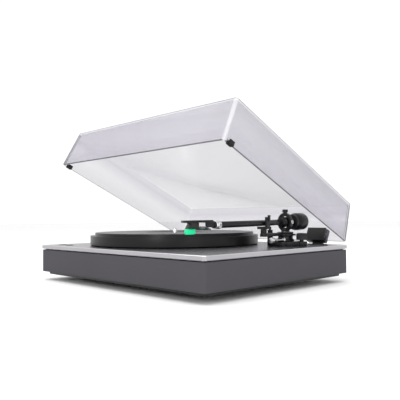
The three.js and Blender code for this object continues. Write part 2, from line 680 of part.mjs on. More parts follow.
// The latch stands open; shut, its strap lies across the top of the tube.
function makeLatch() {
  const y = -REST_REACH;
  const x = CRADLE_HALF + HORN_WIDTH / 2;
  const z = LATCH_PIN_HEIGHT;
  const outer = x + LATCH_RISE + LATCH_THICKNESS;
  const eye = rod([x, y - LATCH_HALF, z], [x, y + LATCH_HALF, z], 1.6, TINY_ROUND);
  const step = block([x, y - LATCH_HALF, z - 1.2], [outer, y + LATCH_HALF, z + 1.8]);
  const strap = block([x + LATCH_RISE, y - LATCH_HALF, z - 1.2], [outer, y + LATCH_HALF, z + LATCH_REACH]);
  const pin = rod([x, y - 4, z], [x, y + 4, z], LATCH_PIN_RADIUS, TINY_ROUND);
  return join(eye, step, strap, pin);
}

function makeLiftPost() {
  const base = ARM_BASE_HEIGHT + SEAT;
  const profile = [
    [0, base],
    [LIFT_POST_RADIUS + 1, base],
    [LIFT_POST_RADIUS + 1, base + 1.2],
    [LIFT_POST_RADIUS, base + 1.2],
    [LIFT_POST_RADIUS, LIFT_POST_TOP - 0.8],
    [LIFT_POST_RADIUS - 0.8, LIFT_POST_TOP],
    [0, LIFT_POST_TOP],
  ];
  const boreRadius = LIFT_STEM_RADIUS + FIT;
  const bore = disc(LIFT_POST_X, LIFT_POST_Y, boreRadius, LEVER_HEIGHT, LIFT_POST_TOP + 1, ROUND);
  const shaftHole = rod(
    [LIFT_POST_X - 1, LEVER_OFFSET_Y, LEVER_HEIGHT],
    [LIFT_POST_X + 2 * LIFT_POST_RADIUS, LEVER_OFFSET_Y, LEVER_HEIGHT],
    LEVER_SHAFT_RADIUS + FIT,
  );
  return cut(turned(LIFT_POST_X, LIFT_POST_Y, profile, ROUND), bore, shaftHole);
}

const LIFT_BAR_THICKNESS = 2;
const LIFT_BAR_WIDTH = 3.4;

// A curved bar under the arc that the tube sweeps over a record.
function makeLiftBar() {
  const from = THREE.MathUtils.degToRad(-90 - 55);
  const to = THREE.MathUtils.degToRad(-90 - 8);
  const base = LIFT_BAR_TOP - LIFT_BAR_THICKNESS;
  const bar = ringSector(LIFT_RADIUS, LIFT_BAR_WIDTH, from, to, base, LIFT_BAR_TOP);
  const stemBase = LEVER_HEIGHT + 4;
  const stem = disc(LIFT_POST_X, LIFT_POST_Y, LIFT_STEM_RADIUS, stemBase, LIFT_BAR_TOP - 1, TINY_ROUND);
  const reach = LIFT_RADIUS * Math.cos(LIFT_ANGLE);
  const outwards = LIFT_RADIUS * Math.sin(LIFT_ANGLE);
  const height = LIFT_BAR_TOP - LIFT_BAR_THICKNESS / 2 - 0.2;
  const web = rod([LIFT_POST_X, LIFT_POST_Y, height], [reach, outwards, height], 1.2, TINY_ROUND);
  return join(bar, stem, web);
}

function makeLever() {
  const y = LEVER_OFFSET_Y;
  const z = LEVER_HEIGHT;
  const shaft = rod([LIFT_POST_X + 1, y, z], [LEVER_OFFSET_X + 2.5, y, z], LEVER_SHAFT_RADIUS);
  const hub = rod([LEVER_OFFSET_X - 3, y, z], [LEVER_OFFSET_X + 3, y, z], 3);
  const stick = rod([LEVER_OFFSET_X, y, z], [LEVER_OFFSET_X, y - LEVER_LENGTH + 2, z], 1.5);
  const knobEnd = y - LEVER_LENGTH - 4.5;
  const knob = rod([LEVER_OFFSET_X, knobEnd + 9, z], [LEVER_OFFSET_X, knobEnd, z], LEVER_KNOB_RADIUS);
  return join(shaft, hub, stick, knob);
}

function makeAntiSkateDial() {
  const profile = [
    [DIAL_STEM_RADIUS + FIT, DIAL_BASE],
    [DIAL_RADIUS, DIAL_BASE],
    [DIAL_RADIUS, DIAL_TOP - 1],
    [DIAL_RADIUS - 1, DIAL_TOP],
    [0, DIAL_TOP],
    [0, DIAL_TOP - 3],
    [DIAL_STEM_RADIUS + FIT, DIAL_TOP - 3],
    [DIAL_STEM_RADIUS + FIT, DIAL_BASE],
  ];
  return turned(DIAL_OFFSET_X, DIAL_OFFSET_Y, profile, ROUND);
}

piece("arm_base", makeArmBase(), BLACK_METAL, armBase);
piece("arm_pillar", makePillar(), BLACK_METAL, armBase);
const LOWER_BEARING = ARM_BASE_HEIGHT + 2 + 3 * SEAT;
piece("lower_swing_bearing", makeBearing(LOWER_BEARING), STEEL, armBase);
piece("upper_swing_bearing", makeBearing(PILLAR_TOP - BEARING_WIDTH - FIT), STEEL, armBase);
piece("lift_post", makeLiftPost(), BLACK_METAL, armBase);
piece("lift_bar", makeLiftBar(), BLACK_METAL, armBase);
piece("cue_lever", makeLever(), STEEL, armBase);
piece("anti_skate_dial", makeAntiSkateDial(), BLACK_PLASTIC, armBase);

// The cradle and its bracket line up with the parked tube.
const parkedLine = new THREE.Group();
parkedLine.rotation.z = PARK_ANGLE;
armBase.add(parkedLine);
piece("cradle_bracket", makeBracket(), BLACK_METAL, parkedLine);
piece("arm_cradle", makeCradle(), BLACK_PLASTIC, parkedLine);
piece("cradle_latch", makeLatch(), BLACK_PLASTIC, parkedLine);

// ---------- tonearm: the yoke swings, and the tube tilts inside it ----------
const swing = new THREE.Group();
swing.rotation.z = PARK_ANGLE;
armBase.add(swing);
const arm = new THREE.Group();
arm.position.z = PIVOT_HEIGHT;
arm.rotation.x = DROOP;
swing.add(arm);

const BLOCK_RADIUS = 8.6;
const BLOCK_HALF = 8.5;
const SCREW_RADIUS = 1.6;
const SCREW_HEAD = 3.3;
const STUB_RADIUS = 4.6;
const COLLAR_RADIUS = 6.2;
const SHELL_START = 190; // from the pivot along the tube
const SHELL_BACK = 38; // from there to the stylus, along the headshell
const TUBE_END = SHELL_START - 7;
const COLLAR_LENGTH = 12;
const SHELL_LENGTH = 49;
const SHELL_WIDTH = 17;
const SCREW_SPACING = 12.7; // between the two cartridge screws
const SLOT_HALF = 1.1;
const SHELL_UNDERSIDE = 4.2;
const SHELL_TOP = 7.4;
const CARTRIDGE_BASE = -4.4;
const STYLUS_BASE = -12.4;

const armRod = (radius, from, to, sides = SMALL_ROUND, endRadius = radius) =>
  rod([0, from, 0], [0, to, 0], radius, sides, endRadius);

// A ring round the tube, standing on a foot and the swing shaft, with a cap on top.
function makeYoke() {
  const half = YOKE_WIDTH / 2;
  const outside = turnedAlongY([
    [0, -half],
    [YOKE_RADIUS - 1, -half],
    [YOKE_RADIUS, 1 - half],
    [YOKE_RADIUS, half - 1],
    [YOKE_RADIUS - 1, half],
    [0, half],
  ]).scale([YOKE_SIDE / YOKE_RADIUS, 1, 1]);
  const bore = armRod(YOKE_BORE, -half - 1, half + 1, ROUND).scale([YOKE_BORE_SIDE / YOKE_BORE, 1, 1]);
  const top = PIVOT_HEIGHT + YOKE_RADIUS;
  const foot = disc(0, 0, 7.5, PILLAR_TOP + FIT + 0.2, PIVOT_HEIGHT - YOKE_BORE - 1.5, ROUND);
  const cap = disc(0, 0, 4.8, top - 1.5, top + 6, SMALL_ROUND, 4.4);
  const screwHole = rod([-YOKE_SIDE - 1, 0, 0], [YOKE_SIDE + 1, 0, 0], SCREW_RADIUS + FIT);
  const socket = disc(0, 0, SHAFT_RADIUS + SEAT, PILLAR_TOP, PILLAR_TOP + 2.6, ROUND);
  const ring = cut(outside, bore, screwHole).translate([0, 0, PIVOT_HEIGHT]);
  return cut(join(ring, foot, cap), socket);
}

function makePivotScrew(side) {
  const at = (x) => [side * x, 0, PIVOT_HEIGHT];
  const stem = rod(at(BLOCK_RADIUS + 2), at(YOKE_SIDE), SCREW_RADIUS, TINY_ROUND);
  const point = rod(at(BLOCK_RADIUS + 2), at(BLOCK_RADIUS + FIT), SCREW_RADIUS, TINY_ROUND, 0.3);
  const head = rod(at(YOKE_SIDE + SEAT), at(YOKE_SIDE + 1.6), SCREW_HEAD);
  const neck = rod(at(YOKE_SIDE - 1), at(YOKE_SIDE + 0.5), SCREW_RADIUS, TINY_ROUND);
  return join(stem, point, neck, head);
}

function makeBearingBlock() {
  const body = armRod(BLOCK_RADIUS, -BLOCK_HALF, BLOCK_HALF, ROUND);
  const nose = armRod(BLOCK_RADIUS - 1.5, -BLOCK_HALF - 8, -BLOCK_HALF + 1, ROUND);
  const bore = armRod(TUBE_RADIUS + SEAT, -BLOCK_HALF - 9, -1, ROUND);
  const rearBore = armRod(STUB_RADIUS + SEAT, 1, BLOCK_HALF + 1, ROUND);
  return cut(join(body, nose), bore, rearBore);
}

function makeTube() {
  const outer = armRod(TUBE_RADIUS, -TUBE_END, -1.3, SMALL_ROUND);
  return cut(outer, armRod(TUBE_RADIUS - TUBE_WALL, -TUBE_END - 1, -3, TINY_ROUND));
}

const makeStub = () => armRod(STUB_RADIUS, 1.3, WEIGHT_START + WEIGHT_LENGTH - 5);

function makeCollar() {
  const ring = armRod(COLLAR_RADIUS, 0.5 - SHELL_START, COLLAR_LENGTH - SHELL_START, ROUND);
  return cut(ring, armRod(TUBE_RADIUS + FIT, -SHELL_START, COLLAR_LENGTH - SHELL_START + 1, ROUND));
}

// Turns a shape drawn along the headshell's own line onto the end of the tube.
function onShell(solid) {
  const degrees = -THREE.MathUtils.radToDeg(HEADSHELL_OFFSET);
  return solid.rotate([0, 0, degrees]).translate([0, -SHELL_START, 0]);
}

function makeHeadshell() {
  const plug = armRod(TUBE_RADIUS - 0.7, -SHELL_START - 3, -TUBE_END - FIT);
  const half = SHELL_WIDTH / 2;
  const outline = new THREE.Shape();
  outline.moveTo(-4.5, -3);
  outline.lineTo(-half, -16);
  outline.lineTo(-half, -SHELL_LENGTH + 5);
  outline.quadraticCurveTo(-half, -SHELL_LENGTH, -half + 4, -SHELL_LENGTH);
  outline.lineTo(half - 4, -SHELL_LENGTH);
  outline.quadraticCurveTo(half, -SHELL_LENGTH, half, -SHELL_LENGTH + 5);
  outline.lineTo(half, -16);
  outline.lineTo(4.5, -3);
  outline.closePath();
  const options = { depth: SHELL_TOP - SHELL_UNDERSIDE, bevelEnabled: false, curveSegments: 4 };
  const plate = toSolid(new THREE.ExtrudeGeometry(outline, options).translate(0, 0, SHELL_UNDERSIDE));
  const neck = block([-4, -12, -3], [4, -2.2, SHELL_UNDERSIDE + 1]);
  const slots = [-1, 1].map((side) => {
    const x = side * SCREW_SPACING / 2;
    const low = [x - SLOT_HALF, 8 - SHELL_LENGTH, SHELL_UNDERSIDE - 1];
    return block(low, [x + SLOT_HALF, 20 - SHELL_LENGTH, SHELL_TOP + 1]);
  });
  return join(plug, onShell(cut(join(plate, neck), ...slots)));
}

function makeFingerLift() {
  const half = SHELL_WIDTH / 2;
  const end = half + 11;
  const tipHeight = SHELL_UNDERSIDE + 1.6;
  const grip = block([half + FIT, -26, SHELL_UNDERSIDE], [end, -21, SHELL_UNDERSIDE + 1.2]);
  const tip = rod([end, -26, tipHeight], [end, -21, tipHeight], 1.6, TINY_ROUND);
  return onShell(join(grip, tip));
}

function makeCartridge() {
  const half = 8;
  const top = SHELL_UNDERSIDE - SEAT;
  const body = block([-half, -SHELL_BACK - 7, CARTRIDGE_BASE], [half, -SHELL_BACK + 11, top]);
  const noseCut = block([-half - 1, -SHELL_BACK - 20, -12], [half + 1, -SHELL_BACK, 0]).rotate([-32, 0, 0]);
  return onShell(cut(body, noseCut.translate([0, -6, -17.5])));
}

function makeStylus() {
  const half = 5.2;
  const top = CARTRIDGE_BASE - SEAT;
  const outline = new THREE.Shape();
  outline.moveTo(-SHELL_BACK - 6.5, top);
  outline.lineTo(-SHELL_BACK + 6.5, top);
  outline.lineTo(-SHELL_BACK + 6.5, STYLUS_BASE + 2);
  outline.lineTo(-SHELL_BACK + 4.5, STYLUS_BASE);
  outline.lineTo(-SHELL_BACK - 6.5, STYLUS_BASE);
  outline.closePath();
  const side = new THREE.ExtrudeGeometry(outline, { depth: 2 * half, bevelEnabled: false });
  // The outline's x runs along the shell, and its y is height.
  const basis = new THREE.Matrix4().makeBasis(
    new THREE.Vector3(0, 1, 0), new THREE.Vector3(0, 0, 1), new THREE.Vector3(1, 0, 0));
  return onShell(toSolid(side.applyMatrix4(basis).translate(-half, 0, 0)));
}

const BUSH_RADIUS = 6.6;
const BUSH_FRONT = WEIGHT_START - 5;
const WEIGHT_END = WEIGHT_START + WEIGHT_LENGTH;

function makeBush() {
  const bush = armRod(BUSH_RADIUS, BUSH_FRONT, WEIGHT_END - 4, ROUND);
  return cut(bush, armRod(STUB_RADIUS + RUNNING, BUSH_FRONT - 1, WEIGHT_END - 3, ROUND));
}

function makeForceDial() {
  const ring = armRod(WEIGHT_RADIUS - 3, BUSH_FRONT + 0.5, WEIGHT_START - FIT, ROUND, WEIGHT_RADIUS - 2);
  return cut(ring, armRod(BUSH_RADIUS + FIT, BUSH_FRONT - 1, WEIGHT_START + 1, ROUND));
}

function makeCounterweight() {
  const bore = BUSH_RADIUS + FIT;
  return turnedAlongY([
    [bore, WEIGHT_START],
    [WEIGHT_RADIUS - 4.5, WEIGHT_START],
    [WEIGHT_RADIUS - 1.5, WEIGHT_START + 4],
    [WEIGHT_RADIUS, WEIGHT_START + 9],
    [WEIGHT_RADIUS, WEIGHT_END - 5],
    [WEIGHT_RADIUS - 1, WEIGHT_END - 2],
    [WEIGHT_RADIUS - 4, WEIGHT_END],
    [0, WEIGHT_END],
    [0, WEIGHT_END - 2.5],
    [bore, WEIGHT_END - 2.5],
    [bore, WEIGHT_START],
  ]);
}

const swingShaft = disc(0, 0, SHAFT_RADIUS, LOWER_BEARING, PILLAR_TOP + 2.3, ROUND);
piece("swing_shaft", swingShaft, STEEL, swing);
piece("arm_yoke", makeYoke(), BLACK_METAL, swing);
for (const [side, sx] of Object.entries(bothSides)) {
  piece(`pivot_screw_${side}`, makePivotScrew(sx), STEEL, swing);
}
piece("bearing_block", makeBearingBlock(), BLACK_METAL, arm);
piece("arm_tube", makeTube(), BLACK_METAL, arm);
piece("weight_stub", makeStub(), STEEL, arm);
piece("locking_collar", makeCollar(), STEEL, arm);
piece("headshell", makeHeadshell(), BLACK_METAL, arm);
piece("finger_lift", makeFingerLift(), BLACK_METAL, arm);
piece("cartridge", makeCartridge(), BLACK_PLASTIC, arm);
piece("stylus", makeStylus(), STYLUS_GREEN, arm);
piece("weight_bush", makeBush(), BLACK_PLASTIC, arm);
piece("force_dial", makeForceDial(), BLACK_PLASTIC, arm);
piece("counterweight", makeCounterweight(), BLACK_METAL, arm);

// ---------- lid and its hinges: the lid is drawn shut, about the hinge axis ----------
const PLATE_REAR = PLATE_DEPTH / 2;
const AXIS_Y = PLATE_REAR + HINGE_BEHIND;
const AXIS_Z = PLATE_TOP - HINGE_BELOW;
const lidGroup = new THREE.Group();
lidGroup.position.set(0, AXIS_Y, AXIS_Z);
lidGroup.rotation.x = -LID_OPEN;
turntable.add(lidGroup);

const RIM_Z = HINGE_BELOW + LID_GAP;
const RIM_REAR = -HINGE_BEHIND - LID_REAR_INSET;
const LID_WIDTH = PLATE_WIDTH - 2 * LID_INSET;
const LID_DEPTH = PLATE_DEPTH - LID_INSET - LID_REAR_INSET;
const LID_MIDDLE = RIM_REAR - LID_DEPTH / 2;
const REAR_LEAN = Math.atan2(LID_DRAFT_REAR, LID_HEIGHT);
const SIDE_LEAN = Math.atan2(LID_DRAFT_SIDE, LID_HEIGHT);

// A tall rounded box whose walls lean in as they rise, drawn from the rim up.
function leaningBox(wall, from, to) {
  const box = roundedOutline(LID_WIDTH - 2 * wall, LID_DEPTH - 2 * wall, LID_CORNER - wall / 2);
  const options = { depth: to - from, bevelEnabled: false, curveSegments: 4, steps: 1 };
  const shape = new THREE.ExtrudeGeometry(box, options).translate(0, 0, from);
  const position = shape.getAttribute("position");
  for (let i = 0; i < position.count; i += 1) {
    const rise = position.getZ(i) / LID_HEIGHT;
    const side = Math.sign(position.getX(i)) * LID_DRAFT_SIDE * rise;
    const end = position.getY(i) < 0 ? -LID_DRAFT_FRONT * rise : LID_DRAFT_REAR * rise;
    position.setXY(i, position.getX(i) - side, position.getY(i) - end);
  }
  return toSolid(shape.translate(0, LID_MIDDLE, RIM_Z));
}

const makeLid = () =>
  cut(leaningBox(0, 0, LID_HEIGHT), leaningBox(LID_WALL, -10, LID_HEIGHT - LID_WALL));

// A slab that holds the rear wall and a fit round it, used to cut the clamp's slot.
function rearWallSlot() {
  const slot = block([-HINGE_X, -LID_WALL - FIT, -FIT], [HINGE_X, FIT, 2 * LID_HEIGHT]);
  const degrees = THREE.MathUtils.radToDeg(REAR_LEAN);
  return slot.rotate([degrees, 0, 0]).translate([0, RIM_REAR, RIM_Z]);
}

function makeClamp(side) {
  const x = side * HINGE_X;
  const half = CLAMP_WIDTH / 2;
  const inside = RIM_REAR - LID_WALL - CLAMP_INSIDE;
  const outside = -1.5;
  const body = block([x - half, inside, RIM_Z - 1], [x + half, outside, RIM_Z + CLAMP_HEIGHT]);
  const knuckleHalf = KNUCKLE_WIDTH / 2;
  const knuckle = rod([x - knuckleHalf, 0, 0], [x + knuckleHalf, 0, 0], HINGE_RADIUS);
  const webLow = [x - knuckleHalf, 0.2 - HINGE_RADIUS, -1];
  const web = block(webLow, [x + knuckleHalf, HINGE_RADIUS - 2, RIM_Z + 2]);
  const pinHole = rod([x - half, 0, 0], [x + half, 0, 0], HINGE_PIN_RADIUS + RUNNING, ROUND);
  return cut(join(body, knuckle, web), rearWallSlot().translate([x, 0, 0]), pinHole);
}

function makeBumper(side) {
  const rimX = side * LID_WIDTH / 2;
  const y = LID_MIDDLE - LID_DEPTH / 2 + BUMPER_SETBACK;
  const inner = rimX - side * (LID_WALL + 2.4);
  const outer = rimX + side * 2;
  const [low, high] = side > 0 ? [inner, outer] : [outer, inner];
  const body = block([low, y - 5, RIM_Z - 1.2], [high, y + 5, RIM_Z + 6]);
  const slotLow = side > 0 ? -LID_WALL - FIT : -FIT;
  const slot = block([slotLow, -10, -FIT / 2], [slotLow + LID_WALL + 2 * FIT, 10, 20]);
  const degrees = -side * THREE.MathUtils.radToDeg(SIDE_LEAN);
  return cut(body, slot.rotate([0, degrees, 0]).translate([rimX, y, RIM_Z]));
}

piece("lid", makeLid(), CLEAR_TINT, lidGroup);
for (const [side, sx] of Object.entries(bothSides)) {
  piece(`lid_clamp_${side}`, makeClamp(sx), BLACK_PLASTIC, lidGroup);
  piece(`lid_bumper_${side}`, makeBumper(sx), RUBBER, lidGroup);
}

const EAR_WIDTH = 7;
const HINGE_FOOT = 30; // how far the base runs down the plinth's rear

function makeHingeBase(side) {
  const x = side * HINGE_X;
  const gap = KNUCKLE_WIDTH / 2 + FIT;
  const outer = gap + EAR_WIDTH;
  const backTop = AXIS_Z - HINGE_RADIUS - 1;
  const backLow = [x - outer, PLINTH_REAR + SEAT, AXIS_Z - HINGE_FOOT];
  const back = block(backLow, [x + outer, PLINTH_REAR + 4, backTop]);
  const ears = [-1, 1].flatMap((end) => {
    const near = x + end * gap;
    const far = x + end * outer;
    const [low, high] = end > 0 ? [near, far] : [far, near];
    const front = PLATE_REAR + FIT + 0.2;
    return [
      rod([low, AXIS_Y, AXIS_Z], [high, AXIS_Y, AXIS_Z], HINGE_RADIUS),
      block([low, front, AXIS_Z - HINGE_RADIUS - 6], [high, AXIS_Y + HINGE_RADIUS - 1, AXIS_Z]),
    ];
  });
  const ends = [x - outer - 1, x + outer + 1].map((end) => [end, AXIS_Y, AXIS_Z]);
  return cut(join(back, ...ears), rod(...ends, HINGE_PIN_RADIUS + RUNNING, ROUND));
}

function makeHingePin(side) {
  const half = KNUCKLE_WIDTH / 2 + FIT + EAR_WIDTH;
  const x = side * HINGE_X;
  return rod([x - half, AXIS_Y, AXIS_Z], [x + half, AXIS_Y, AXIS_Z], HINGE_PIN_RADIUS);
}

for (const [side, sx] of Object.entries(bothSides)) {
  piece(`hinge_base_${side}`, makeHingeBase(sx), BLACK_METAL);
  piece(`hinge_pin_${side}`, makeHingePin(sx), STEEL);
}

// The origin is under the middle of the whole object, on the surface that it stands on.
turntable.updateMatrixWorld(true);
const bounds = new THREE.Box3().setFromObject(turntable, true);
const centre = bounds.getCenter(new THREE.Vector3());
turntable.position.set(-centre.x, -centre.y, -bounds.min.z);

export default turntable;
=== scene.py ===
"""Builds the finished look of a belt-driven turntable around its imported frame."""
import json
import math
import bmesh
import bpy
from bpy.props import FloatProperty, FloatVectorProperty, IntProperty, PointerProperty
from mathutils import Matrix, Vector


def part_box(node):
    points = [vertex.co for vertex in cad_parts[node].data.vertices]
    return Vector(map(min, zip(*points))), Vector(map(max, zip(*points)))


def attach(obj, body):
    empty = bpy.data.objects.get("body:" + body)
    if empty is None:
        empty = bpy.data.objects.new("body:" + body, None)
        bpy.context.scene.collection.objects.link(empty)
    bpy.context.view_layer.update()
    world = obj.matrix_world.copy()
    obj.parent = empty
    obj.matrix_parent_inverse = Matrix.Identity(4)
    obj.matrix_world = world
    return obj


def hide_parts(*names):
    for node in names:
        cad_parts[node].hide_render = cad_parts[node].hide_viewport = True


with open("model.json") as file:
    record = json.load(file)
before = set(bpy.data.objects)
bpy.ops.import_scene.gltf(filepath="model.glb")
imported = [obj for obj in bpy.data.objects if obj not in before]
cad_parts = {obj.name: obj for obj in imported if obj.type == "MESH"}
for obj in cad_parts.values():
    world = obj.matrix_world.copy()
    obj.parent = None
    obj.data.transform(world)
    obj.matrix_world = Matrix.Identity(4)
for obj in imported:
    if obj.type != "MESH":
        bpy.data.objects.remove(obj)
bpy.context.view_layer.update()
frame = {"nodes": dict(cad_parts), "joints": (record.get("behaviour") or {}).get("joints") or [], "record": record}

bl_info = {
    "name": "Turntable Looks",
    "version": (1, 0, 0),
    "blender": (4, 5, 0),
    "location": "3D View > Sidebar > Turntable",
    "description": "Builds the shown pieces and finishes of a belt-driven turntable",
    "category": "Object",
}

MM = 0.001
RECORD = frame["record"]
JOINTS = {joint["name"]: joint for joint in frame["joints"]}
BODY_OF = {
    node: body for body, nodes in RECORD["behaviour"]["bodies"].items() for node in nodes
}

ALONG_X = Matrix.Rotation(math.radians(90), 4, "Y")
ALONG_Y = Matrix.Rotation(math.radians(-90), 4, "X")
SHARP = math.radians(28)
RIGHT_ANGLED = math.radians(60)
SMOOTHEST = 0.02


# ---------- local frames, each taken from the joints ----------
def frame_from(origin, across, back):
    """A matrix for a local frame with X across, Y to the back and Z up."""
    x = Vector(across).normalized()
    y = Vector(back).normalized()
    z = x.cross(y)
    turn = Matrix((x, y, z)).transposed().to_4x4()
    return Matrix.Translation(origin) @ turn


PLATE_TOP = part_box("top_plate")[1].z
PIVOT = Vector(JOINTS["arm_swing"]["pos_m"])
ARM_BACK = -Vector(JOINTS["weight_slide"]["axis"])
ARM_ACROSS = -Vector(JOINTS["arm_lift"]["axis"])
ARM = frame_from(PIVOT, ARM_ACROSS, ARM_BACK)
BASE = Matrix.Translation((PIVOT.x, PIVOT.y, PLATE_TOP))
PARKED = frame_from(BASE.translation, ARM_ACROSS, Vector((ARM_BACK.x, ARM_BACK.y, 0)))
YOKE = PARKED @ Matrix.Translation((0, 0, PIVOT.z - PLATE_TOP))
LID_ANGLE = math.radians(JOINTS["lid_hinge"]["range_deg"][0])
LID = Matrix.Translation(JOINTS["lid_hinge"]["pos_m"]) @ Matrix.Rotation(LID_ANGLE, 4, "X")
PLATTER_AXIS = Vector(JOINTS["platter_spin"]["pos_m"])


def corners(points):
    """Lowest and highest corner of a set of points."""
    low = Vector([min(point[i] for point in points) for i in range(3)])
    high = Vector([max(point[i] for point in points) for i in range(3)])
    return low, high


def node_points(node, place=Matrix()):
    """The points of a CAD node, in a local frame."""
    back = place.inverted()
    return [back @ vertex.co for vertex in frame["nodes"][node].data.vertices]


def measure(node, place=Matrix()):
    """Lowest and highest corner of a CAD node, in a local frame."""
    return corners(node_points(node, place))


def upright_part(node, place=Matrix()):
    """Corners and radius of a round part that stands upright, and a frame on its axis."""
    low, high = measure(node, place)
    centre = (low + high) / 2
    return low, high, (high.x - low.x) / 2, place @ Matrix.Translation((centre.x, centre.y, 0))


def rear_part(node):
    """Corners of a round part at the rear, and a frame whose Z runs back along its axis."""
    low, high = measure(node)
    centre = (low + high) / 2
    return low, high, Matrix.Translation((centre.x, 0, centre.z)) @ ALONG_Y


# ---------- settings ----------
class TURNTABLE_PG_body(bpy.types.PropertyGroup):
    """Sizes and colours of the plinth and its top plate."""

    plinth_colour: FloatVectorProperty(
        name="Plinth Colour",
        description="Satin paint of the plinth",
        subtype="COLOR",
        default=(0.070, 0.067, 0.075),
        min=0,
        max=1,
    )
    plate_colour: FloatVectorProperty(
        name="Plate Colour",
        description="Satin metal of the top plate",
        subtype="COLOR",
        default=(0.17, 0.163, 0.176),
        min=0,
        max=1,
    )
    corner_radius: FloatProperty(
        name="Corner Radius",
        description="Upright corners of the plinth and the plate",
        default=6 * MM,
        min=1 * MM,
        max=30 * MM,
        unit="LENGTH",
    )
    edge_round: FloatProperty(
        name="Edge Round",
        description="Rounding of the plinth's long edges",
        default=1 * MM,
        min=0.2 * MM,
        max=4 * MM,
        unit="LENGTH",
    )


class TURNTABLE_PG_platter(bpy.types.PropertyGroup):
    """Sizes and colours of the platter."""

    colour: FloatVectorProperty(
        name="Platter Colour",
        description="Satin black of both tiers",
        subtype="COLOR",
        default=(0.010, 0.010, 0.011),
        min=0,
        max=1,
    )
    edge_round: FloatProperty(
        name="Edge Round",
        description="Rounding of the two rims",
        default=0.7 * MM,
        min=0.1 * MM,
        max=2 * MM,
        unit="LENGTH",
    )
    steps: IntProperty(
        name="Steps",
        description="Sides of the platter's circle",
        default=160,
        min=48,
        max=256,
    )


class TURNTABLE_PG_arm(bpy.types.PropertyGroup):
    """Sizes and colours of the tonearm."""

    black: FloatVectorProperty(
        name="Arm Black",
        description="Anodised metal of the tube, the yoke and the weight",
        subtype="COLOR",
        default=(0.012, 0.0115, 0.013),
        min=0,
        max=1,
    )
    stylus_colour: FloatVectorProperty(
        name="Stylus Colour",
        description="Plastic of the stylus holder",
        subtype="COLOR",
        default=(0.004, 0.70, 0.30),
        min=0,
        max=1,
    )
    shell_offset: FloatProperty(
        name="Shell Offset",
        description="Turn of the headshell from the tube's line",
        default=math.radians(-23.6),
        subtype="ANGLE",
    )
    wire_radius: FloatProperty(
        name="Wire Radius",
        description="The four lead wires behind the cartridge",
        default=0.35 * MM,
        min=0.1 * MM,
        max=1 * MM,
        unit="LENGTH",
    )
    knurl_teeth: IntProperty(
        name="Knurl Teeth",
        description="Ribs round each dial and collar",
        default=36,
        min=8,
        max=90,
    )


class TURNTABLE_PG_lid(bpy.types.PropertyGroup):
    """Sizes and tint of the clear lid."""

    tint: FloatVectorProperty(
        name="Tint",
        description="Grey of the clear walls",
        subtype="COLOR",
        default=(0.26, 0.235, 0.32),
        min=0,
        max=1,
    )
    density: FloatProperty(
        name="Density",
        description="How much one face of the wall covers what is behind it",
        default=0.11,
        min=0,
        max=1,
        subtype="FACTOR",
    )
    wall: FloatProperty(
        name="Wall",
        description="Thickness of the lid's walls",
        default=3 * MM,
        min=1 * MM,
        max=6 * MM,
        unit="LENGTH",
    )
    corner_radius: FloatProperty(
        name="Corner Radius",
        description="Rounding of the upright corners",
        default=4.5 * MM,
        min=1 * MM,
        max=20 * MM,
        unit="LENGTH",
    )


class TURNTABLE_PG_stage(bpy.types.PropertyGroup):
    """Camera, floor and light."""

    camera_place: FloatVectorProperty(
        name="Camera Place",
        description="Where the camera stands, from the middle of the top plate's front edge",
        subtype="XYZ",
        default=(0.6824, -0.4568, 0.0476),
        unit="LENGTH",
    )
    camera_turn: FloatVectorProperty(
        name="Camera Turn",
        description="Turn to the left, tilt upwards and roll of the camera",
        subtype="EULER",
        default=(math.radians(45.94), math.radians(2.03), math.radians(-0.42)),
    )
    camera_lens: FloatProperty(
        name="Camera Lens",
        description="Focal length in millimetres on a 36 mm sensor",
        default=46.33,
        min=10,
        max=300,
    )
    floor_colour: FloatVectorProperty(
        name="Floor Colour",
        description="Pale floor",
        subtype="COLOR",
        default=(0.90, 0.90, 0.90),
        min=0,
        max=1,
    )
    sky: FloatProperty(
        name="Sky",
        description="Strength of the even light from all round",
        default=1.08,
        min=0,
        max=5,
    )


# ---------- shapes ----------
def new_block(low, high, place=Matrix()):
    """A box between two corners."""
    low = Vector(low)
    high = Vector(high)
    bm = bmesh.new()
    size = Matrix.Diagonal((*(high - low), 1))
    centre = Matrix.Translation((low + high) / 2)
    bmesh.ops.create_cube(bm, size=1, matrix=place @ centre @ size)
    return bm


def new_turned(profile, place=Matrix(), steps=64):
    """A profile of (radius, height) points turned about the local Z axis."""
    bm = bmesh.new()
    points = [bm.verts.new((radius, 0, height)) for radius, height in profile]
    edges = [bm.edges.new(pair) for pair in zip(points, points[1:])]
    bmesh.ops.spin(
        bm,
        geom=points + edges,
        cent=(0, 0, 0),
        axis=(0, 0, 1),
        dvec=(0, 0, 0),
        angle=2 * math.pi,
        steps=steps,
        use_merge=True,
        use_normal_flip=False,
        use_duplicate=False,
    )
    bmesh.ops.remove_doubles(bm, verts=bm.verts, dist=0.001 * MM)
    bmesh.ops.transform(bm, matrix=place, verts=bm.verts)
    bmesh.ops.recalc_face_normals(bm, faces=bm.faces)
    return bm


def new_rod(radius, low, high, place=Matrix(), steps=64):
    """A plain cylinder between two heights on the local Z axis."""
    return new_turned([(0, low), (radius, low), (radius, high), (0, high)], place, steps)


def new_copy(node):
    """A merged copy of a CAD node's mesh, with its flat faces whole again."""
    bm = bmesh.new()
    bm.from_mesh(frame["nodes"][node].data)
    bmesh.ops.remove_doubles(bm, verts=bm.verts, dist=0.002 * MM)
    bmesh.ops.dissolve_limit(
        bm,
        angle_limit=math.radians(0.5),
        use_dissolve_boundaries=False,
        verts=bm.verts,
        edges=bm.edges,
    )
    return bm


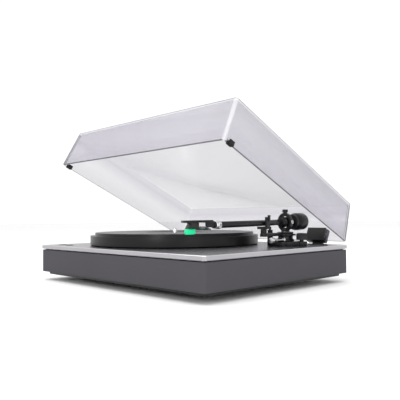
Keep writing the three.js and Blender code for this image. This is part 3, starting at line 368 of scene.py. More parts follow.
def new_wire(points, radius, sides=10):
    """A thin round wire through a row of points."""
    bm = bmesh.new()
    rings = []
    for i, point in enumerate(points):
        before = points[max(i - 1, 0)]
        after = points[min(i + 1, len(points) - 1)]
        turn = (after - before).to_track_quat("Z", "Y")
        angles = [2 * math.pi * k / sides for k in range(sides)]
        offsets = [Vector((radius * math.cos(a), radius * math.sin(a), 0)) for a in angles]
        rings.append([bm.verts.new(point + turn @ offset) for offset in offsets])
    for ring, following in zip(rings, rings[1:]):
        for k in range(sides):
            other = (k + 1) % sides
            bm.faces.new((ring[k], ring[other], following[other], following[k]))
    bm.faces.new(rings[0][::-1])
    bm.faces.new(rings[-1])
    bmesh.ops.recalc_face_normals(bm, faces=bm.faces)
    return bm


def sharp_edges(bm, angle=SHARP):
    """Edges where two faces meet at more than an angle."""
    return [
        edge
        for edge in bm.edges
        if len(edge.link_faces) == 2 and edge.calc_face_angle(0) > angle
    ]


def soften(bm, width, segments=2, edges=None, material=-1):
    """Rounds edges: the sharp ones, or those given."""
    chosen = sharp_edges(bm) if edges is None else edges
    return bmesh.ops.bevel(
        bm,
        geom=chosen,
        offset=width,
        offset_type="OFFSET",
        segments=segments,
        profile=0.5,
        affect="EDGES",
        clamp_overlap=True,
        material=material,
    )["faces"]


def upright_edges(bm):
    """Edges of a box that run from its base to its top."""
    return [edge for edge in bm.edges if abs(edge.verts[0].co.z - edge.verts[1].co.z) > MM]


def knurl(bm, place, low, high, radius, depth, teeth):
    """Presses every other upright row of a turned band inwards, to make ribs."""
    back = place.inverted()
    rows = []
    for vertex in bm.verts:
        point = back @ vertex.co
        reach = math.hypot(point.x, point.y)
        if not low < point.z < high or reach < radius - 0.1 * MM:
            continue
        turn = math.atan2(point.y, point.x) / (2 * math.pi) * teeth
        if round(2 * turn) % 2:
            rows.append(vertex)
    scale = 1 - depth / radius
    bmesh.ops.scale(bm, vec=(scale, scale, 1), space=back, verts=rows)


def merged(*shapes):
    """Several shapes in one mesh."""
    first = shapes[0]
    for other in shapes[1:]:
        mesh = bpy.data.meshes.new("part")
        other.to_mesh(mesh)
        other.free()
        first.from_mesh(mesh)
        bpy.data.meshes.remove(mesh)
    return first


def to_mesh(bm, name):
    """A mesh from a shape, smooth except at its sharp edges."""
    for face in bm.faces:
        face.smooth = True
    for edge in bm.edges:
        edge.smooth = True
    for edge in sharp_edges(bm):
        edge.smooth = False
    mesh = bpy.data.meshes.new(name)
    bm.to_mesh(mesh)
    bm.free()
    return mesh


def carved(bm, *cutters):
    """A shape with other shapes cut out of it."""
    body = bpy.data.objects.new("carved", to_mesh(bm, "carved"))
    tool = bpy.data.objects.new("cutter", to_mesh(merged(*cutters), "cutter"))
    for item in (body, tool):
        bpy.context.scene.collection.objects.link(item)
    modifier = body.modifiers.new("cut", "BOOLEAN")
    modifier.operation = "DIFFERENCE"
    modifier.solver = "EXACT"
    modifier.use_self = True
    modifier.object = tool
    graph = bpy.context.evaluated_depsgraph_get()
    result = bmesh.new()
    result.from_object(body, graph)
    for item in (body, tool):
        mesh = item.data
        bpy.data.objects.remove(item)
        bpy.data.meshes.remove(mesh)
    return result


def add_piece(bm, name, finishes, nodes, body=None):
    """Makes a piece from a shape, and says which body it rides on and what it stands for."""
    if not bm.faces:
        raise RuntimeError(f"{name} has no faces")
    piece = bpy.data.objects.new(name, to_mesh(bm, name))
    for finish in finishes:
        piece.data.materials.append(finish)
    bpy.context.scene.collection.objects.link(piece)
    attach(piece, body or BODY_OF[nodes[0]])
    if nodes:
        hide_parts(*nodes)
    return piece


# ---------- finishes ----------
def link(tree, source, output, target, socket):
    """Joins an output of one node to an input of another."""
    tree.links.new(source.outputs[output], target.inputs[socket])


def add_node(tree, kind, place, **values):
    """A node with its attributes set."""
    node = tree.nodes.new(kind)
    node.location = place
    for name, value in values.items():
        setattr(node, name, value)
    return node


def start_finish(name, colour, roughness, metallic, scale, centre=(0, 0, 0), gloss=0.5):
    """A material with its shader, and object coordinates centred and stretched for a pattern."""
    material = bpy.data.materials.new(name)
    material.use_nodes = True
    tree = material.node_tree
    shader = tree.nodes["Principled BSDF"]
    shader.inputs["Base Color"].default_value = (*colour, 1)
    shader.inputs["Roughness"].default_value = roughness
    shader.inputs["Metallic"].default_value = metallic
    shader.inputs["Specular IOR Level"].default_value = gloss
    place = add_node(tree, "ShaderNodeTexCoord", (-1000, 0))
    mapping = add_node(tree, "ShaderNodeMapping", (-800, 0), vector_type="POINT")
    mapping.inputs["Location"].default_value = [-c * s for c, s in zip(centre, scale)]
    mapping.inputs["Scale"].default_value = scale
    link(tree, place, "Object", mapping, "Vector")
    return material, tree, shader, mapping


def add_noise(tree, mapping, place, scale, detail):
    """A noise texture on a finish's own coordinates."""
    noise = add_node(tree, "ShaderNodeTexNoise", place)
    noise.inputs["Scale"].default_value = scale
    noise.inputs["Detail"].default_value = detail
    link(tree, mapping, "Vector", noise, "Vector")
    return noise


def add_tone(tree, shader, texture, colour, spread):
    """Makes a finish's colour darker and lighter with a texture."""
    tone = add_node(tree, "ShaderNodeMix", (-300, 200), data_type="RGBA")
    tone.inputs["A"].default_value = (*[c * (1 - spread) for c in colour], 1)
    tone.inputs["B"].default_value = (*[min(1, c * (1 + spread)) for c in colour], 1)
    link(tree, texture, "Fac", tone, "Factor")
    link(tree, tone, "Result", shader, "Base Color")


def add_roughness(tree, shader, texture, low, high):
    """Moves a finish's roughness between two values with a texture."""
    rough = add_node(tree, "ShaderNodeMapRange", (-300, -50))
    rough.inputs["To Min"].default_value = low
    rough.inputs["To Max"].default_value = high
    link(tree, texture, "Fac", rough, "Value")
    link(tree, rough, "Result", shader, "Roughness")


def add_relief(tree, shader, texture, strength, depth):
    """Gives a finish a fine relief from a texture."""
    relief = add_node(tree, "ShaderNodeBump", (-300, -300))
    relief.inputs["Strength"].default_value = strength
    relief.inputs["Distance"].default_value = depth
    link(tree, texture, "Fac", relief, "Height")
    link(tree, relief, "Normal", shader, "Normal")


def grained(name, colour, roughness, metallic=0, scale=(1, 1, 1), grain=1500, blotch=30,
            spread=0.08, rough_spread=0.06, bump=0.15, gloss=0.3):
    """An even finish with a fine grain: paint, moulded plastic, blasted or brushed metal."""
    found = bpy.data.materials.get(name)
    if found:
        return found
    material, tree, shader, mapping = start_finish(
        name, colour, roughness, metallic, scale, gloss=gloss
    )
    fine = add_noise(tree, mapping, (-600, -200), grain, 3)
    broad = add_noise(tree, mapping, (-600, 200), blotch, 2)
    add_tone(tree, shader, broad, colour, spread)
    smoothest = max(SMOOTHEST, roughness - rough_spread)
    add_roughness(tree, shader, fine, smoothest, min(1, roughness + rough_spread))
    add_relief(tree, shader, fine, bump, 0.2 * MM)
    return material


def ringed(name, colour, roughness, metallic, centre, rings=1400, bump=0.2, spread=0.1,
           gloss=0.3):
    """A turned finish, with fine rings round an upright axis through a centre."""
    found = bpy.data.materials.get(name)
    if found:
        return found
    material, tree, shader, mapping = start_finish(
        name, colour, roughness, metallic, (1, 1, 1), centre, gloss
    )
    wave = add_node(
        tree,
        "ShaderNodeTexWave",
        (-600, -200),
        wave_type="RINGS",
        rings_direction="Z",
        wave_profile="SIN",
    )
    wave.inputs["Scale"].default_value = rings
    wave.inputs["Distortion"].default_value = 1.5
    wave.inputs["Detail"].default_value = 2
    link(tree, mapping, "Vector", wave, "Vector")
    cloud = add_noise(tree, mapping, (-600, 200), 25, 2)
    add_tone(tree, shader, cloud, colour, spread)
    add_roughness(tree, shader, wave, max(SMOOTHEST, roughness - 0.05), roughness + 0.05)
    add_relief(tree, shader, wave, bump, 0.05 * MM)
    return material


def clear(name, colour, slant_colour_with_reflection, density, edge_density, roughness=0.04, ior=1.49):
    """Clear tinted plastic, denser where it is seen at a slant and of another colour there, a painted reflection
    where that colour is lighter.
    """
    material, tree, shader, mapping = start_finish(name, colour, roughness, 0, (1, 1, 1))
    haze = add_noise(tree, mapping, (-600, -200), 9, 4)
    add_roughness(tree, shader, haze, roughness * 0.6, roughness * 1.6)
    slant = add_node(tree, "ShaderNodeLayerWeight", (-600, -500))
    slant.inputs["Blend"].default_value = 0.35
    cover = add_node(tree, "ShaderNodeMapRange", (-300, -500))
    cover.inputs["To Min"].default_value = density
    cover.inputs["To Max"].default_value = edge_density
    link(tree, slant, "Facing", cover, "Value")
    # The colour moves to the slant colour at grazing angles: a painted reflection.
    tone = add_node(tree, "ShaderNodeMix", (-300, 200), data_type="RGBA")
    tone.inputs["A"].default_value = (*colour, 1)
    tone.inputs["B"].default_value = (*slant_colour_with_reflection, 1)
    link(tree, slant, "Facing", tone, "Factor")
    link(tree, tone, "Result", shader, "Base Color")
    link(tree, cover, "Result", shader, "Alpha")
    shader.inputs["IOR"].default_value = ior
    return material


def moulded():
    return grained("moulded_black", (0.012, 0.012, 0.013), 0.42, grain=2600, bump=0.25)


def anodised():
    black = tuple(bpy.context.scene.turntable_arm.black)
    return grained("anodised_black", black, 0.27, 0.35, grain=3000, bump=0.08, spread=0.15)


def steel():
    return grained("polished_steel", (0.62, 0.62, 0.64), 0.2, 1, grain=1800, bump=0.05)


def rubber():
    return grained("black_rubber", (0.010, 0.010, 0.010), 0.75, grain=900, bump=0.5)


def brass():
    return grained("turned_brass", (0.72, 0.50, 0.20), 0.28, 1, grain=1800, bump=0.08)


# ---------- operators ----------
class TURNTABLE_OT_plinth(bpy.types.Operator):
    """Painted plinth with rounded corners and a rebate for the rear panel"""

    bl_idname = "turntable.plinth"
    bl_label = "Plinth"

    def execute(self, context):
        settings = context.scene.turntable_body
        low, high = measure("plinth")
        plate_low = measure("top_plate")[0]
        shoulder = plate_low.z - 1.5 * MM
        bm = new_block(low, (high.x, high.y, shoulder))
        soften(bm, settings.corner_radius, 8, upright_edges(bm))
        rims = sharp_edges(bm, RIGHT_ANGLED)
        soften(bm, settings.edge_round, 3, rims)
        top = max(bm.faces, key=lambda face: face.calc_center_median().z)
        bmesh.ops.inset_region(bm, faces=[top], thickness=5 * MM)
        raised = bmesh.ops.extrude_face_region(bm, geom=[top])["geom"]
        verts = [item for item in raised if isinstance(item, bmesh.types.BMVert)]
        bmesh.ops.translate(bm, vec=(0, 0, plate_low.z - shoulder - 0.1 * MM), verts=verts)
        bmesh.ops.delete(bm, geom=[top], context="FACES_ONLY")
        panel_low, panel_high = measure("rear_panel")
        margin = Vector((0.3 * MM, 0.3 * MM, 0.3 * MM))
        rebate = new_block(panel_low - margin, panel_high + margin + Vector((0, 5 * MM, 0)))
        bm = carved(bm, rebate)
        colour = tuple(settings.plinth_colour)
        paint = grained(
            "satin_paint", colour, 0.44, grain=700, blotch=12, spread=0.07, bump=0.12, gloss=0.02
        )
        add_piece(bm, "painted_plinth", [paint], ["plinth"])
        return {"FINISHED"}


class TURNTABLE_OT_top_plate(bpy.types.Operator):
    """Satin metal top plate with two button wells, its edge chamfers painted bright as a highlight and its upright
    sides painted lighter than the top
    """

    bl_idname = "turntable.top_plate"
    bl_label = "Top Plate"

    def execute(self, context):
        settings = context.scene.turntable_body
        low, high = measure("top_plate")
        bm = new_block(low, high)
        soften(bm, settings.corner_radius, 8, upright_edges(bm))
        rims = sharp_edges(bm, RIGHT_ANGLED)
        soften(bm, 0.9 * MM, 1, rims)
        wells = []
        for node in ("power_button", "speed_button"):
            radius, place = upright_part(node)[2:]
            wells.append(new_rod(radius + 0.3 * MM, low.z - MM, high.z + MM, place))
        bm = carved(bm, *wells)
        bm.normal_update()
        colour = tuple(settings.plate_colour)
        satin = grained(
            "satin_plate", colour, 0.28, 0.9, (0.6, 1, 1), 2400, 14, 0.05, 0.05, 0.10
        )
        # Lighter copies of the plate's metal: a painted highlight on the chamfers and painted light on the upright
        # sides.
        bright = grained("chamfer_highlight_metal", (0.60, 0.59, 0.61), 0.25, 1, grain=2000, bump=0.03)
        side = grained("side_band_lit_metal", (0.40, 0.39, 0.41), 0.32, 1, grain=2400, bump=0.05)
        finishes = [satin, bright, side]
        # Each face takes a copy by which way it faces: satin on top, painted highlight on the chamfers, painted
        # light on the sides.
        for face in bm.faces:
            rise = abs(face.normal.z)
            finish = satin if rise > 0.9 else bright if rise > 0.3 else side
            face.material_index = finishes.index(finish)
        add_piece(bm, "satin_top_plate", finishes, ["top_plate"])
        return {"FINISHED"}


class TURNTABLE_OT_buttons(bpy.types.Operator):
    """Two round buttons with dished tops"""

    bl_idname = "turntable.buttons"
    bl_label = "Buttons"

    def execute(self, context):
        for node in ("power_button", "speed_button"):
            low, high, radius, place = upright_part(node)
            profile = [
                (0, low.z),
                (radius, low.z),
                (radius, high.z),
                (radius - 1.2 * MM, high.z),
                (radius * 0.6, high.z - 0.35 * MM),
                (0, high.z - 0.5 * MM),
            ]
            bm = new_turned(profile, place, 64)
            soften(bm, 0.4 * MM)
            add_piece(bm, f"{node}_cap", [moulded()], [node])
        return {"FINISHED"}


class TURNTABLE_OT_feet(bpy.types.Operator):
    """Bottom cover and four rubber feet"""

    bl_idname = "turntable.feet"
    bl_label = "Base and Feet"

    def execute(self, context):
        bm = new_copy("bottom_cover")
        soften(bm, 0.5 * MM, 2)
        add_piece(bm, "base_cover", [moulded()], ["bottom_cover"])
        for node in [name for name in BODY_OF if name.startswith("foot_")]:
            low, high, radius, axis = upright_part(node)
            place = axis @ Matrix.Translation((0, 0, low.z))
            height = high.z - low.z
            profile = [
                (0, 0.6 * MM),
                (radius - 9 * MM, 0.6 * MM),
                (radius - 9 * MM, 0),
                (radius - 3 * MM, 0),
                (radius, 2.5 * MM),
                (radius, 5 * MM),
                (radius - 5 * MM, 7 * MM),
                (radius - 5 * MM, height),
                (0, height),
            ]
            bm = new_turned(profile, place, 72)
            soften(bm, 0.4 * MM)
            add_piece(bm, f"{node}_rubber", [rubber()], [node])
        return {"FINISHED"}


class TURNTABLE_OT_connections(bpy.types.Operator):
    """Rear panel with two signal jacks, an earth post and a power inlet"""

    bl_idname = "turntable.connections"
    bl_label = "Rear Connections"

    def execute(self, context):
        bm = new_copy("rear_panel")
        soften(bm, 0.25 * MM, 2)
        add_piece(bm, "connection_panel", [moulded()], ["rear_panel"])
        insulators = {
            "signal_jack_left": (0.75, 0.75, 0.75),
            "signal_jack_right": (0.5, 0.01, 0.01),
        }
        for node, colour in insulators.items():
            low, high, place = rear_part(node)
            face = high.y
            bm = new_turned(
                [
                    (1.7 * MM, low.y),
                    (3.1 * MM, low.y),
                    (3.1 * MM, face - 9 * MM),
                    (5.4 * MM, face - 9 * MM),
                    (5.4 * MM, face - 7 * MM),
                    (4.1 * MM, face - 6.4 * MM),
                    (4.1 * MM, face),
                    (3.5 * MM, face),
                    (3.5 * MM, face - 5 * MM),
                    (1.7 * MM, face - 5 * MM),
                    (1.7 * MM, low.y),
                ],
                place,
                48,
            )
            soften(bm, 0.15 * MM)
            add_piece(bm, f"{node}_barrel", [brass()], [node])
            ring = new_turned(
                [
                    (1.8 * MM, face - 4.9 * MM),
                    (3.4 * MM, face - 4.9 * MM),
                    (3.4 * MM, face - 1 * MM),
                    (1.8 * MM, face - 1 * MM),
                    (1.8 * MM, face - 4.9 * MM),
                ],
                place,
                48,
            )
            soften(ring, 0.2 * MM)
            finish = grained(f"{node}_plastic", colour, 0.35, grain=1500)
            add_piece(ring, f"{node}_insulator", [finish], [], "chassis")
        low, high, place = rear_part("earth_post")
        face = high.y
        bm = new_turned(
            [
                (0, low.y),
                (2 * MM, low.y),
                (2 * MM, face - 12 * MM),
                (5 * MM, face - 12 * MM),
                (5 * MM, face - 10.8 * MM),
                (2 * MM, face - 10.8 * MM),
                (2 * MM, face - 9 * MM),
                (4.5 * MM, face - 9 * MM),
                (4.5 * MM, face - 2 * MM),
                (2 * MM, face - 2 * MM),
                (2 * MM, face),
                (0, face),
            ],
            place,
            48,
        )
        knurl(bm, place, face - 9.5 * MM, face - 1.5 * MM, 4.5 * MM, 0.35 * MM, 24)
        add_piece(bm, "earth_thumbscrew", [steel()], ["earth_post"])
        bm = new_copy("power_inlet")
        soften(bm, 0.25 * MM, 2)
        low, high, place = rear_part("power_inlet")
        profile = [
            (0, low.y + 2 * MM),
            (0.9 * MM, low.y + 2 * MM),
            (0.9 * MM, high.y - 2 * MM),
            (0, high.y - 1.4 * MM),
        ]
        pin = new_turned(profile, place, 24)
        add_piece(bm, "inlet_barrel", [moulded()], ["power_inlet"])
        add_piece(pin, "inlet_pin", [steel()], [], "chassis")
        return {"FINISHED"}


class TURNTABLE_OT_platter(bpy.types.Operator):
    """Two-tier platter with a dish for the label, and its spindle"""

    bl_idname = "turntable.platter"
    bl_label = "Platter"

    def execute(self, context):
        settings = context.scene.turntable_platter
        low, high = measure("platter")
        sub_high = measure("sub_platter")[1]
        radius = (high.x - low.x) / 2
        upper = radius - 8.5 * MM
        label = 52 * MM
        ledge = high.z - 5.2 * MM
        inner = 3.9 * MM
        hollow = 101 * MM
        profile = [
            (inner, sub_high.z + 0.1 * MM),
            (hollow, sub_high.z + 0.1 * MM),
            (hollow, low.z),
            (radius - 1 * MM, low.z),
            (radius, low.z + 1 * MM),
            (radius, ledge),
            (upper, ledge),
            (upper, high.z),
            (upper - 5 * MM, high.z),
            (upper - 5.4 * MM, high.z - 0.25 * MM),
            (label + 0.5 * MM, high.z - 0.25 * MM),
            (label, high.z - 0.8 * MM),
            (inner, high.z - 0.8 * MM),
            (inner, sub_high.z + 0.1 * MM),
        ]
        place = Matrix.Translation((PLATTER_AXIS.x, PLATTER_AXIS.y, 0))
        bm = new_turned(profile, place, settings.steps)
        wide = [edge for edge in sharp_edges(bm) if edge.verts[0].co.z > ledge - 0.1 * MM]
        soften(bm, settings.edge_round, 3, wide)
        colour = tuple(settings.colour)
        centre = (PLATTER_AXIS.x, PLATTER_AXIS.y, 0)
        satin = ringed("turned_black", colour, 0.32, 0, centre, rings=700, bump=0.12, gloss=0.2)
        add_piece(bm, "turned_platter", [satin], ["platter"])
        low, high = measure("spindle")
        radius = (high.x - low.x) / 2
        profile = [
            (0, low.z),
            (radius, low.z + 1 * MM),
            (radius, high.z - 2.6 * MM),
            (radius - 0.35 * MM, high.z - 1.6 * MM),
            (radius - 1.2 * MM, high.z - 0.5 * MM),
            (radius - 2.4 * MM, high.z - 0.08 * MM),
            (0, high.z),
        ]
        bm = new_turned(profile, place, 48)
        add_piece(bm, "record_spindle", [steel()], ["spindle"])
        return {"FINISHED"}


class TURNTABLE_OT_drive(bpy.types.Operator):
    """Finishes for the drive, bearings, pins and stub, which keep the frame's own shapes"""

    bl_idname = "turntable.drive"
    bl_label = "Drive"

    def execute(self, context):
        finishes = {
            "bearing_housing": brass(),
            "thrust_ball": steel(),
            "sub_platter": moulded(),
            "drive_belt": rubber(),
            "motor": steel(),
            "motor_bracket": steel(),
            "motor_shaft": steel(),
            "motor_pulley": brass(),
            "circuit_board": grained("board_lacquer", (0.02, 0.14, 0.06), 0.35, grain=500),
            "lower_swing_bearing": steel(),
            "upper_swing_bearing": steel(),
            "swing_shaft": steel(),
            "hinge_pin_left": steel(),
            "hinge_pin_right": steel(),
            "weight_stub": steel(),
            "weight_bush": moulded(),
        }
        for node, finish in finishes.items():
            materials = frame["nodes"][node].data.materials
            materials.clear()
            materials.append(finish)
        return {"FINISHED"}


class TURNTABLE_OT_arm_base(bpy.types.Operator):
    """Round tonearm base, its pillar and the lift post"""

    bl_idname = "turntable.arm_base"
    bl_label = "Tonearm Base"

    def execute(self, context):
        add_piece(self.rounded_base(), "arm_base_plate", [anodised()], ["arm_base"])
        low, high = measure("arm_pillar", BASE)
        radius = high.x
        profile = [
            (0, low.z),
            (radius, low.z),
            (radius, low.z + 3 * MM),
            (radius - 2 * MM, low.z + 4 * MM),
            (radius - 2 * MM, high.z - 5 * MM),
            (radius - 2.6 * MM, high.z - 4.5 * MM),
            (radius - 2.6 * MM, high.z - 3.5 * MM),
            (radius - 1 * MM, high.z - 2.5 * MM),
            (radius - 1 * MM, high.z),
            (7.3 * MM, high.z),
            (7.3 * MM, high.z - 1 * MM),
            (0, high.z - 1 * MM),
        ]
        bm = new_turned(profile, BASE, 72)
        soften(bm, 0.3 * MM)
        add_piece(bm, "arm_pillar_turned", [anodised()], ["arm_pillar"])
        low, high, radius, place = upright_part("lift_post", BASE)
        profile = [
            (0, low.z),
            (radius, low.z),
            (radius, low.z + 1.2 * MM),
            (radius - 1 * MM, low.z + 1.4 * MM),
            (radius - 1 * MM, high.z - 4 * MM),
            (radius - 1.4 * MM, high.z - 3.7 * MM),
            (radius - 1.4 * MM, high.z - 2.7 * MM),
            (radius - 1 * MM, high.z - 2.4 * MM),
            (radius - 1 * MM, high.z),
            (2.5 * MM, high.z),
            (2.5 * MM, high.z - 2 * MM),
            (0, high.z - 2 * MM),
        ]
        bm = new_turned(profile, place, 48)
        soften(bm, 0.3 * MM)
        add_piece(bm, "lift_cylinder", [anodised()], ["lift_post"])
        return {"FINISHED"}

    @staticmethod
    def rounded_base():
        """The base disc with its dial lobe, lever post and screw heads."""
        lever = BASE.inverted() @ Vector(JOINTS["cue_lever_turn"]["pos_m"])
        dial = BASE.inverted() @ Vector(JOINTS["anti_skate_turn"]["pos_m"])
        top = measure("arm_pillar", BASE)[0].z - 0.1 * MM
        disc = new_rod(31 * MM, 0.1 * MM, top, BASE, 96)
        soften(disc, 0.8 * MM, 3)
        lobe_place = BASE @ Matrix.Translation((dial.x, dial.y, 0))
        lobe = new_rod(9 * MM, 0.1 * MM, top, lobe_place)
        soften(lobe, 0.8 * MM, 3)
        stem_top = measure("anti_skate_dial", BASE)[1].z - 4 * MM
        stem = new_rod(3.4 * MM, top - MM, stem_top, lobe_place, 32)
        post_x = lever.x + 8 * MM
        post = new_block(
            (post_x - 2 * MM, lever.y - 4 * MM, top - MM),
            (post_x + 2 * MM, lever.y + 4 * MM, lever.z + 4 * MM),
            BASE,
        )
        soften(post, 0.8 * MM, 3)
        shapes = [disc, lobe, stem, post]
        screw_circle = 25.5 * MM
        for turn in (25, 145, 265):
            angle = math.radians(turn)
            x = screw_circle * math.cos(angle)
            y = screw_circle * math.sin(angle)
            profile = [
                (0, 0),
                (2.4 * MM, 0),
                (2.4 * MM, 0.9 * MM),
                (1.3 * MM, 0.9 * MM),
                (1.2 * MM, 0.2 * MM),
                (0, 0.2 * MM),
            ]
            shapes.append(new_turned(profile, BASE @ Matrix.Translation((x, y, top)), 32))
        return merged(*shapes)


class TURNTABLE_OT_lift(bpy.types.Operator):
    """Curved lift bar on its stem, and the cue lever with its bright knob"""

    bl_idname = "turntable.lift"
    bl_label = "Lift and Lever"

    def execute(self, context):
        low, high = measure("lift_bar", BASE)
        stem_low, stem_high = measure("lift_post", BASE)
        stem_x = (stem_low.x + stem_high.x) / 2
        stem_y = (stem_low.y + stem_high.y) / 2
        bm = bmesh.new()
        reach = 36 * MM
        half = 1.7 * MM
        start = math.radians(-90 - 55)
        end = math.radians(-90 - 8)
        section_corners = [
            (reach - half, -1), (reach + half, -1), (reach + half, 0), (reach - half, 0)
        ]
        ring = []
        for radius, level in section_corners:
            height = high.z + level * 2 * MM
            ring.append(bm.verts.new((radius * math.cos(start), radius * math.sin(start), height)))
        section = bm.faces.new(ring)
        bmesh.ops.spin(
            bm,
            geom=[section, *section.edges, *section.verts],
            cent=(0, 0, 0),
            axis=(0, 0, 1),
            dvec=(0, 0, 0),
            angle=end - start,
            steps=24,
            use_merge=False,
            use_normal_flip=False,
            use_duplicate=False,
        )
        bmesh.ops.remove_doubles(bm, verts=bm.verts, dist=0.001 * MM)
        bmesh.ops.transform(bm, matrix=BASE, verts=bm.verts)
        bmesh.ops.recalc_face_normals(bm, faces=bm.faces)
        soften(bm, 0.5 * MM)
        place = BASE @ Matrix.Translation((stem_x, stem_y, 0))
        top = high.z - 1 * MM
        stem = new_rod(2.1 * MM, low.z, top, place, 32)
        out = math.atan2(stem_y, stem_x)
        web_place = BASE @ Matrix.Rotation(out, 4, "Z")
        from_axis = math.hypot(stem_x, stem_y)
        web = new_block(
            (from_axis - 1.5 * MM, -1.4 * MM, high.z - 2 * MM),
            (reach, 1.4 * MM, high.z - 0.3 * MM),
            web_place,
        )
        soften(web, 0.3 * MM)
        add_piece(merged(bm, stem, web), "lift_rest", [anodised()], ["lift_bar"])
        low, high = measure("cue_lever", BASE)
        axis = BASE.inverted() @ Vector(JOINTS["cue_lever_turn"]["pos_m"])
        knob_radius = 5 * MM
        knob_x = high.x - knob_radius
        shaft_place = BASE @ Matrix.Translation((0, axis.y, axis.z)) @ ALONG_X
        shaft = new_rod(1.8 * MM, low.x, knob_x + 2 * MM, shaft_place, 32)
        hub = new_rod(3 * MM, knob_x - 3 * MM, knob_x + 3 * MM, shaft_place, 40)
        soften(hub, 0.5 * MM)
        stick_place = BASE @ Matrix.Translation((knob_x, 0, axis.z)) @ ALONG_Y
        stick = new_rod(1.4 * MM, low.y + 6 * MM, axis.y, stick_place, 32)
        knob = new_turned(
            [
                (0, low.y),
                (knob_radius - 0.3 * MM, low.y),
                (knob_radius, low.y + 4 * MM),
                (knob_radius - 0.9 * MM, low.y + 8 * MM),
                (1.4 * MM, low.y + 9 * MM),
                (0, low.y + 9 * MM),
            ],
            stick_place,
            48,
        )
        soften(knob, 0.5 * MM, 3)
        add_piece(merged(shaft, hub, stick, knob), "cue_lever_turned", [steel()], ["cue_lever"])
        return {"FINISHED"}


class TURNTABLE_OT_anti_skate(bpy.types.Operator):
    """Ribbed anti-skate dial with a pointer line"""

    bl_idname = "turntable.anti_skate"
    bl_label = "Anti-Skate Dial"

    def execute(self, context):
        teeth = context.scene.turntable_arm.knurl_teeth
        low, high, radius, place = upright_part("anti_skate_dial", BASE)
        profile = [
            (3.8 * MM, low.z),
            (radius, low.z),
            (radius, low.z + 1.2 * MM),
            (radius, high.z - 2 * MM),
            (radius - 1.2 * MM, high.z - 0.4 * MM),
            (radius - 2.2 * MM, high.z),
            (0, high.z),
        ]
        bm = new_turned(profile, place, 2 * teeth)
        knurl(bm, place, low.z + 1 * MM, high.z - 1 * MM, radius, 0.45 * MM, teeth)
        add_piece(bm, "anti_skate_knob", [moulded()], ["anti_skate_dial"])
        line = new_block(
            (-0.3 * MM, 2 * MM, high.z - 0.3 * MM),
            (0.3 * MM, radius - 2.4 * MM, high.z + 0.05 * MM),
            place,
        )
        soften(line, 0.05 * MM, 1)
        white = grained("marking_white", (0.7, 0.7, 0.7), 0.5)
        add_piece(line, "anti_skate_line", [white], [], "anti_skate_dial")
        return {"FINISHED"}


class TURNTABLE_OT_cradle(bpy.types.Operator):
    """Bracket, cradle and latch that hold the parked tube"""

    bl_idname = "turntable.cradle"
    bl_label = "Arm Rest"

    def execute(self, context):
        looks = {
            "cradle_bracket": (0.5 * MM, anodised()),
            "arm_cradle": (0.45 * MM, moulded()),
            "cradle_latch": (0.3 * MM, moulded()),
        }
        for node, (width, finish) in looks.items():
            bm = new_copy(node)
            soften(bm, width, 2)
            add_piece(bm, f"{node}_rounded", [finish], [node])
        return {"FINISHED"}


class TURNTABLE_OT_yoke(bpy.types.Operator):
    """Ring-shaped yoke with its foot, cap and two pivot screws"""

    bl_idname = "turntable.yoke"
    bl_label = "Yoke"

    def execute(self, context):
        low, high = measure("arm_yoke", YOKE)
        outer = high.z - 6 * MM
        flank = high.x
        inner = outer - 5.1 * MM
        bore_flank = flank - 3.6 * MM
        half = 4.5 * MM
        narrowed = YOKE @ Matrix.Diagonal((flank / outer, 1, 1, 1)) @ ALONG_Y
        ring = new_rod(outer, -half, half, narrowed, 96)
        soften(ring, 0.8 * MM, 3)
        narrowed = YOKE @ Matrix.Diagonal((bore_flank / inner, 1, 1, 1)) @ ALONG_Y
        reach = 2 * half
        bore = new_rod(inner, -reach, reach, narrowed, 96)
        ring = carved(ring, bore)
        soften(ring, 0.4 * MM, 2, sharp_edges(ring, RIGHT_ANGLED))
        foot = new_turned(
            [
                (0, low.z),
                (7.5 * MM, low.z),
                (7.5 * MM, low.z + 1.6 * MM),
                (6 * MM, low.z + 2.2 * MM),
                (6 * MM, -inner - 1.5 * MM),
                (0, -inner - 1.5 * MM),
            ],
            YOKE,
            64,
        )
        soften(foot, 0.3 * MM)
        cap = new_turned(
            [
                (0, outer - 2 * MM),
                (3.6 * MM, outer - 2 * MM),
                (3.6 * MM, outer + 1 * MM),
                (4.8 * MM, outer + 1.4 * MM),
                (4.8 * MM, high.z - 1 * MM),
                (4.2 * MM, high.z),
                (1.6 * MM, high.z),
                (1.4 * MM, high.z - 1 * MM),
                (0, high.z - 1 * MM),
            ],
            YOKE,
            48,
        )
        knurl(cap, YOKE, outer + 1.2 * MM, high.z - 0.5 * MM, 4.8 * MM, 0.25 * MM, 24)
        add_piece(merged(ring, foot, cap), "yoke_ring", [anodised()], ["arm_yoke"])
        for side, node in ((-1, "pivot_screw_left"), (1, "pivot_screw_right")):
            low, high = measure(node, YOKE)
            face = max(abs(low.x), abs(high.x))
            start = min(abs(low.x), abs(high.x))
            turn = ALONG_X if side > 0 else Matrix.Rotation(math.radians(-90), 4, "Y")
            place = YOKE @ turn
            profile = [
                (0, start),
                (1.6 * MM, start + 2 * MM),
                (1.6 * MM, flank + 0.1 * MM),
                (3.3 * MM, flank + 0.1 * MM),
                (3.3 * MM, face),
                (0, face),
            ]
            screw = new_turned(profile, place, 48)
            soften(screw, 0.25 * MM)
            slot = new_block(
                (-0.35 * MM, -4 * MM, face - 0.6 * MM), (0.35 * MM, 4 * MM, face + MM), place
            )
            add_piece(carved(screw, slot), f"{node}_slotted", [steel()], [node])
        return {"FINISHED"}


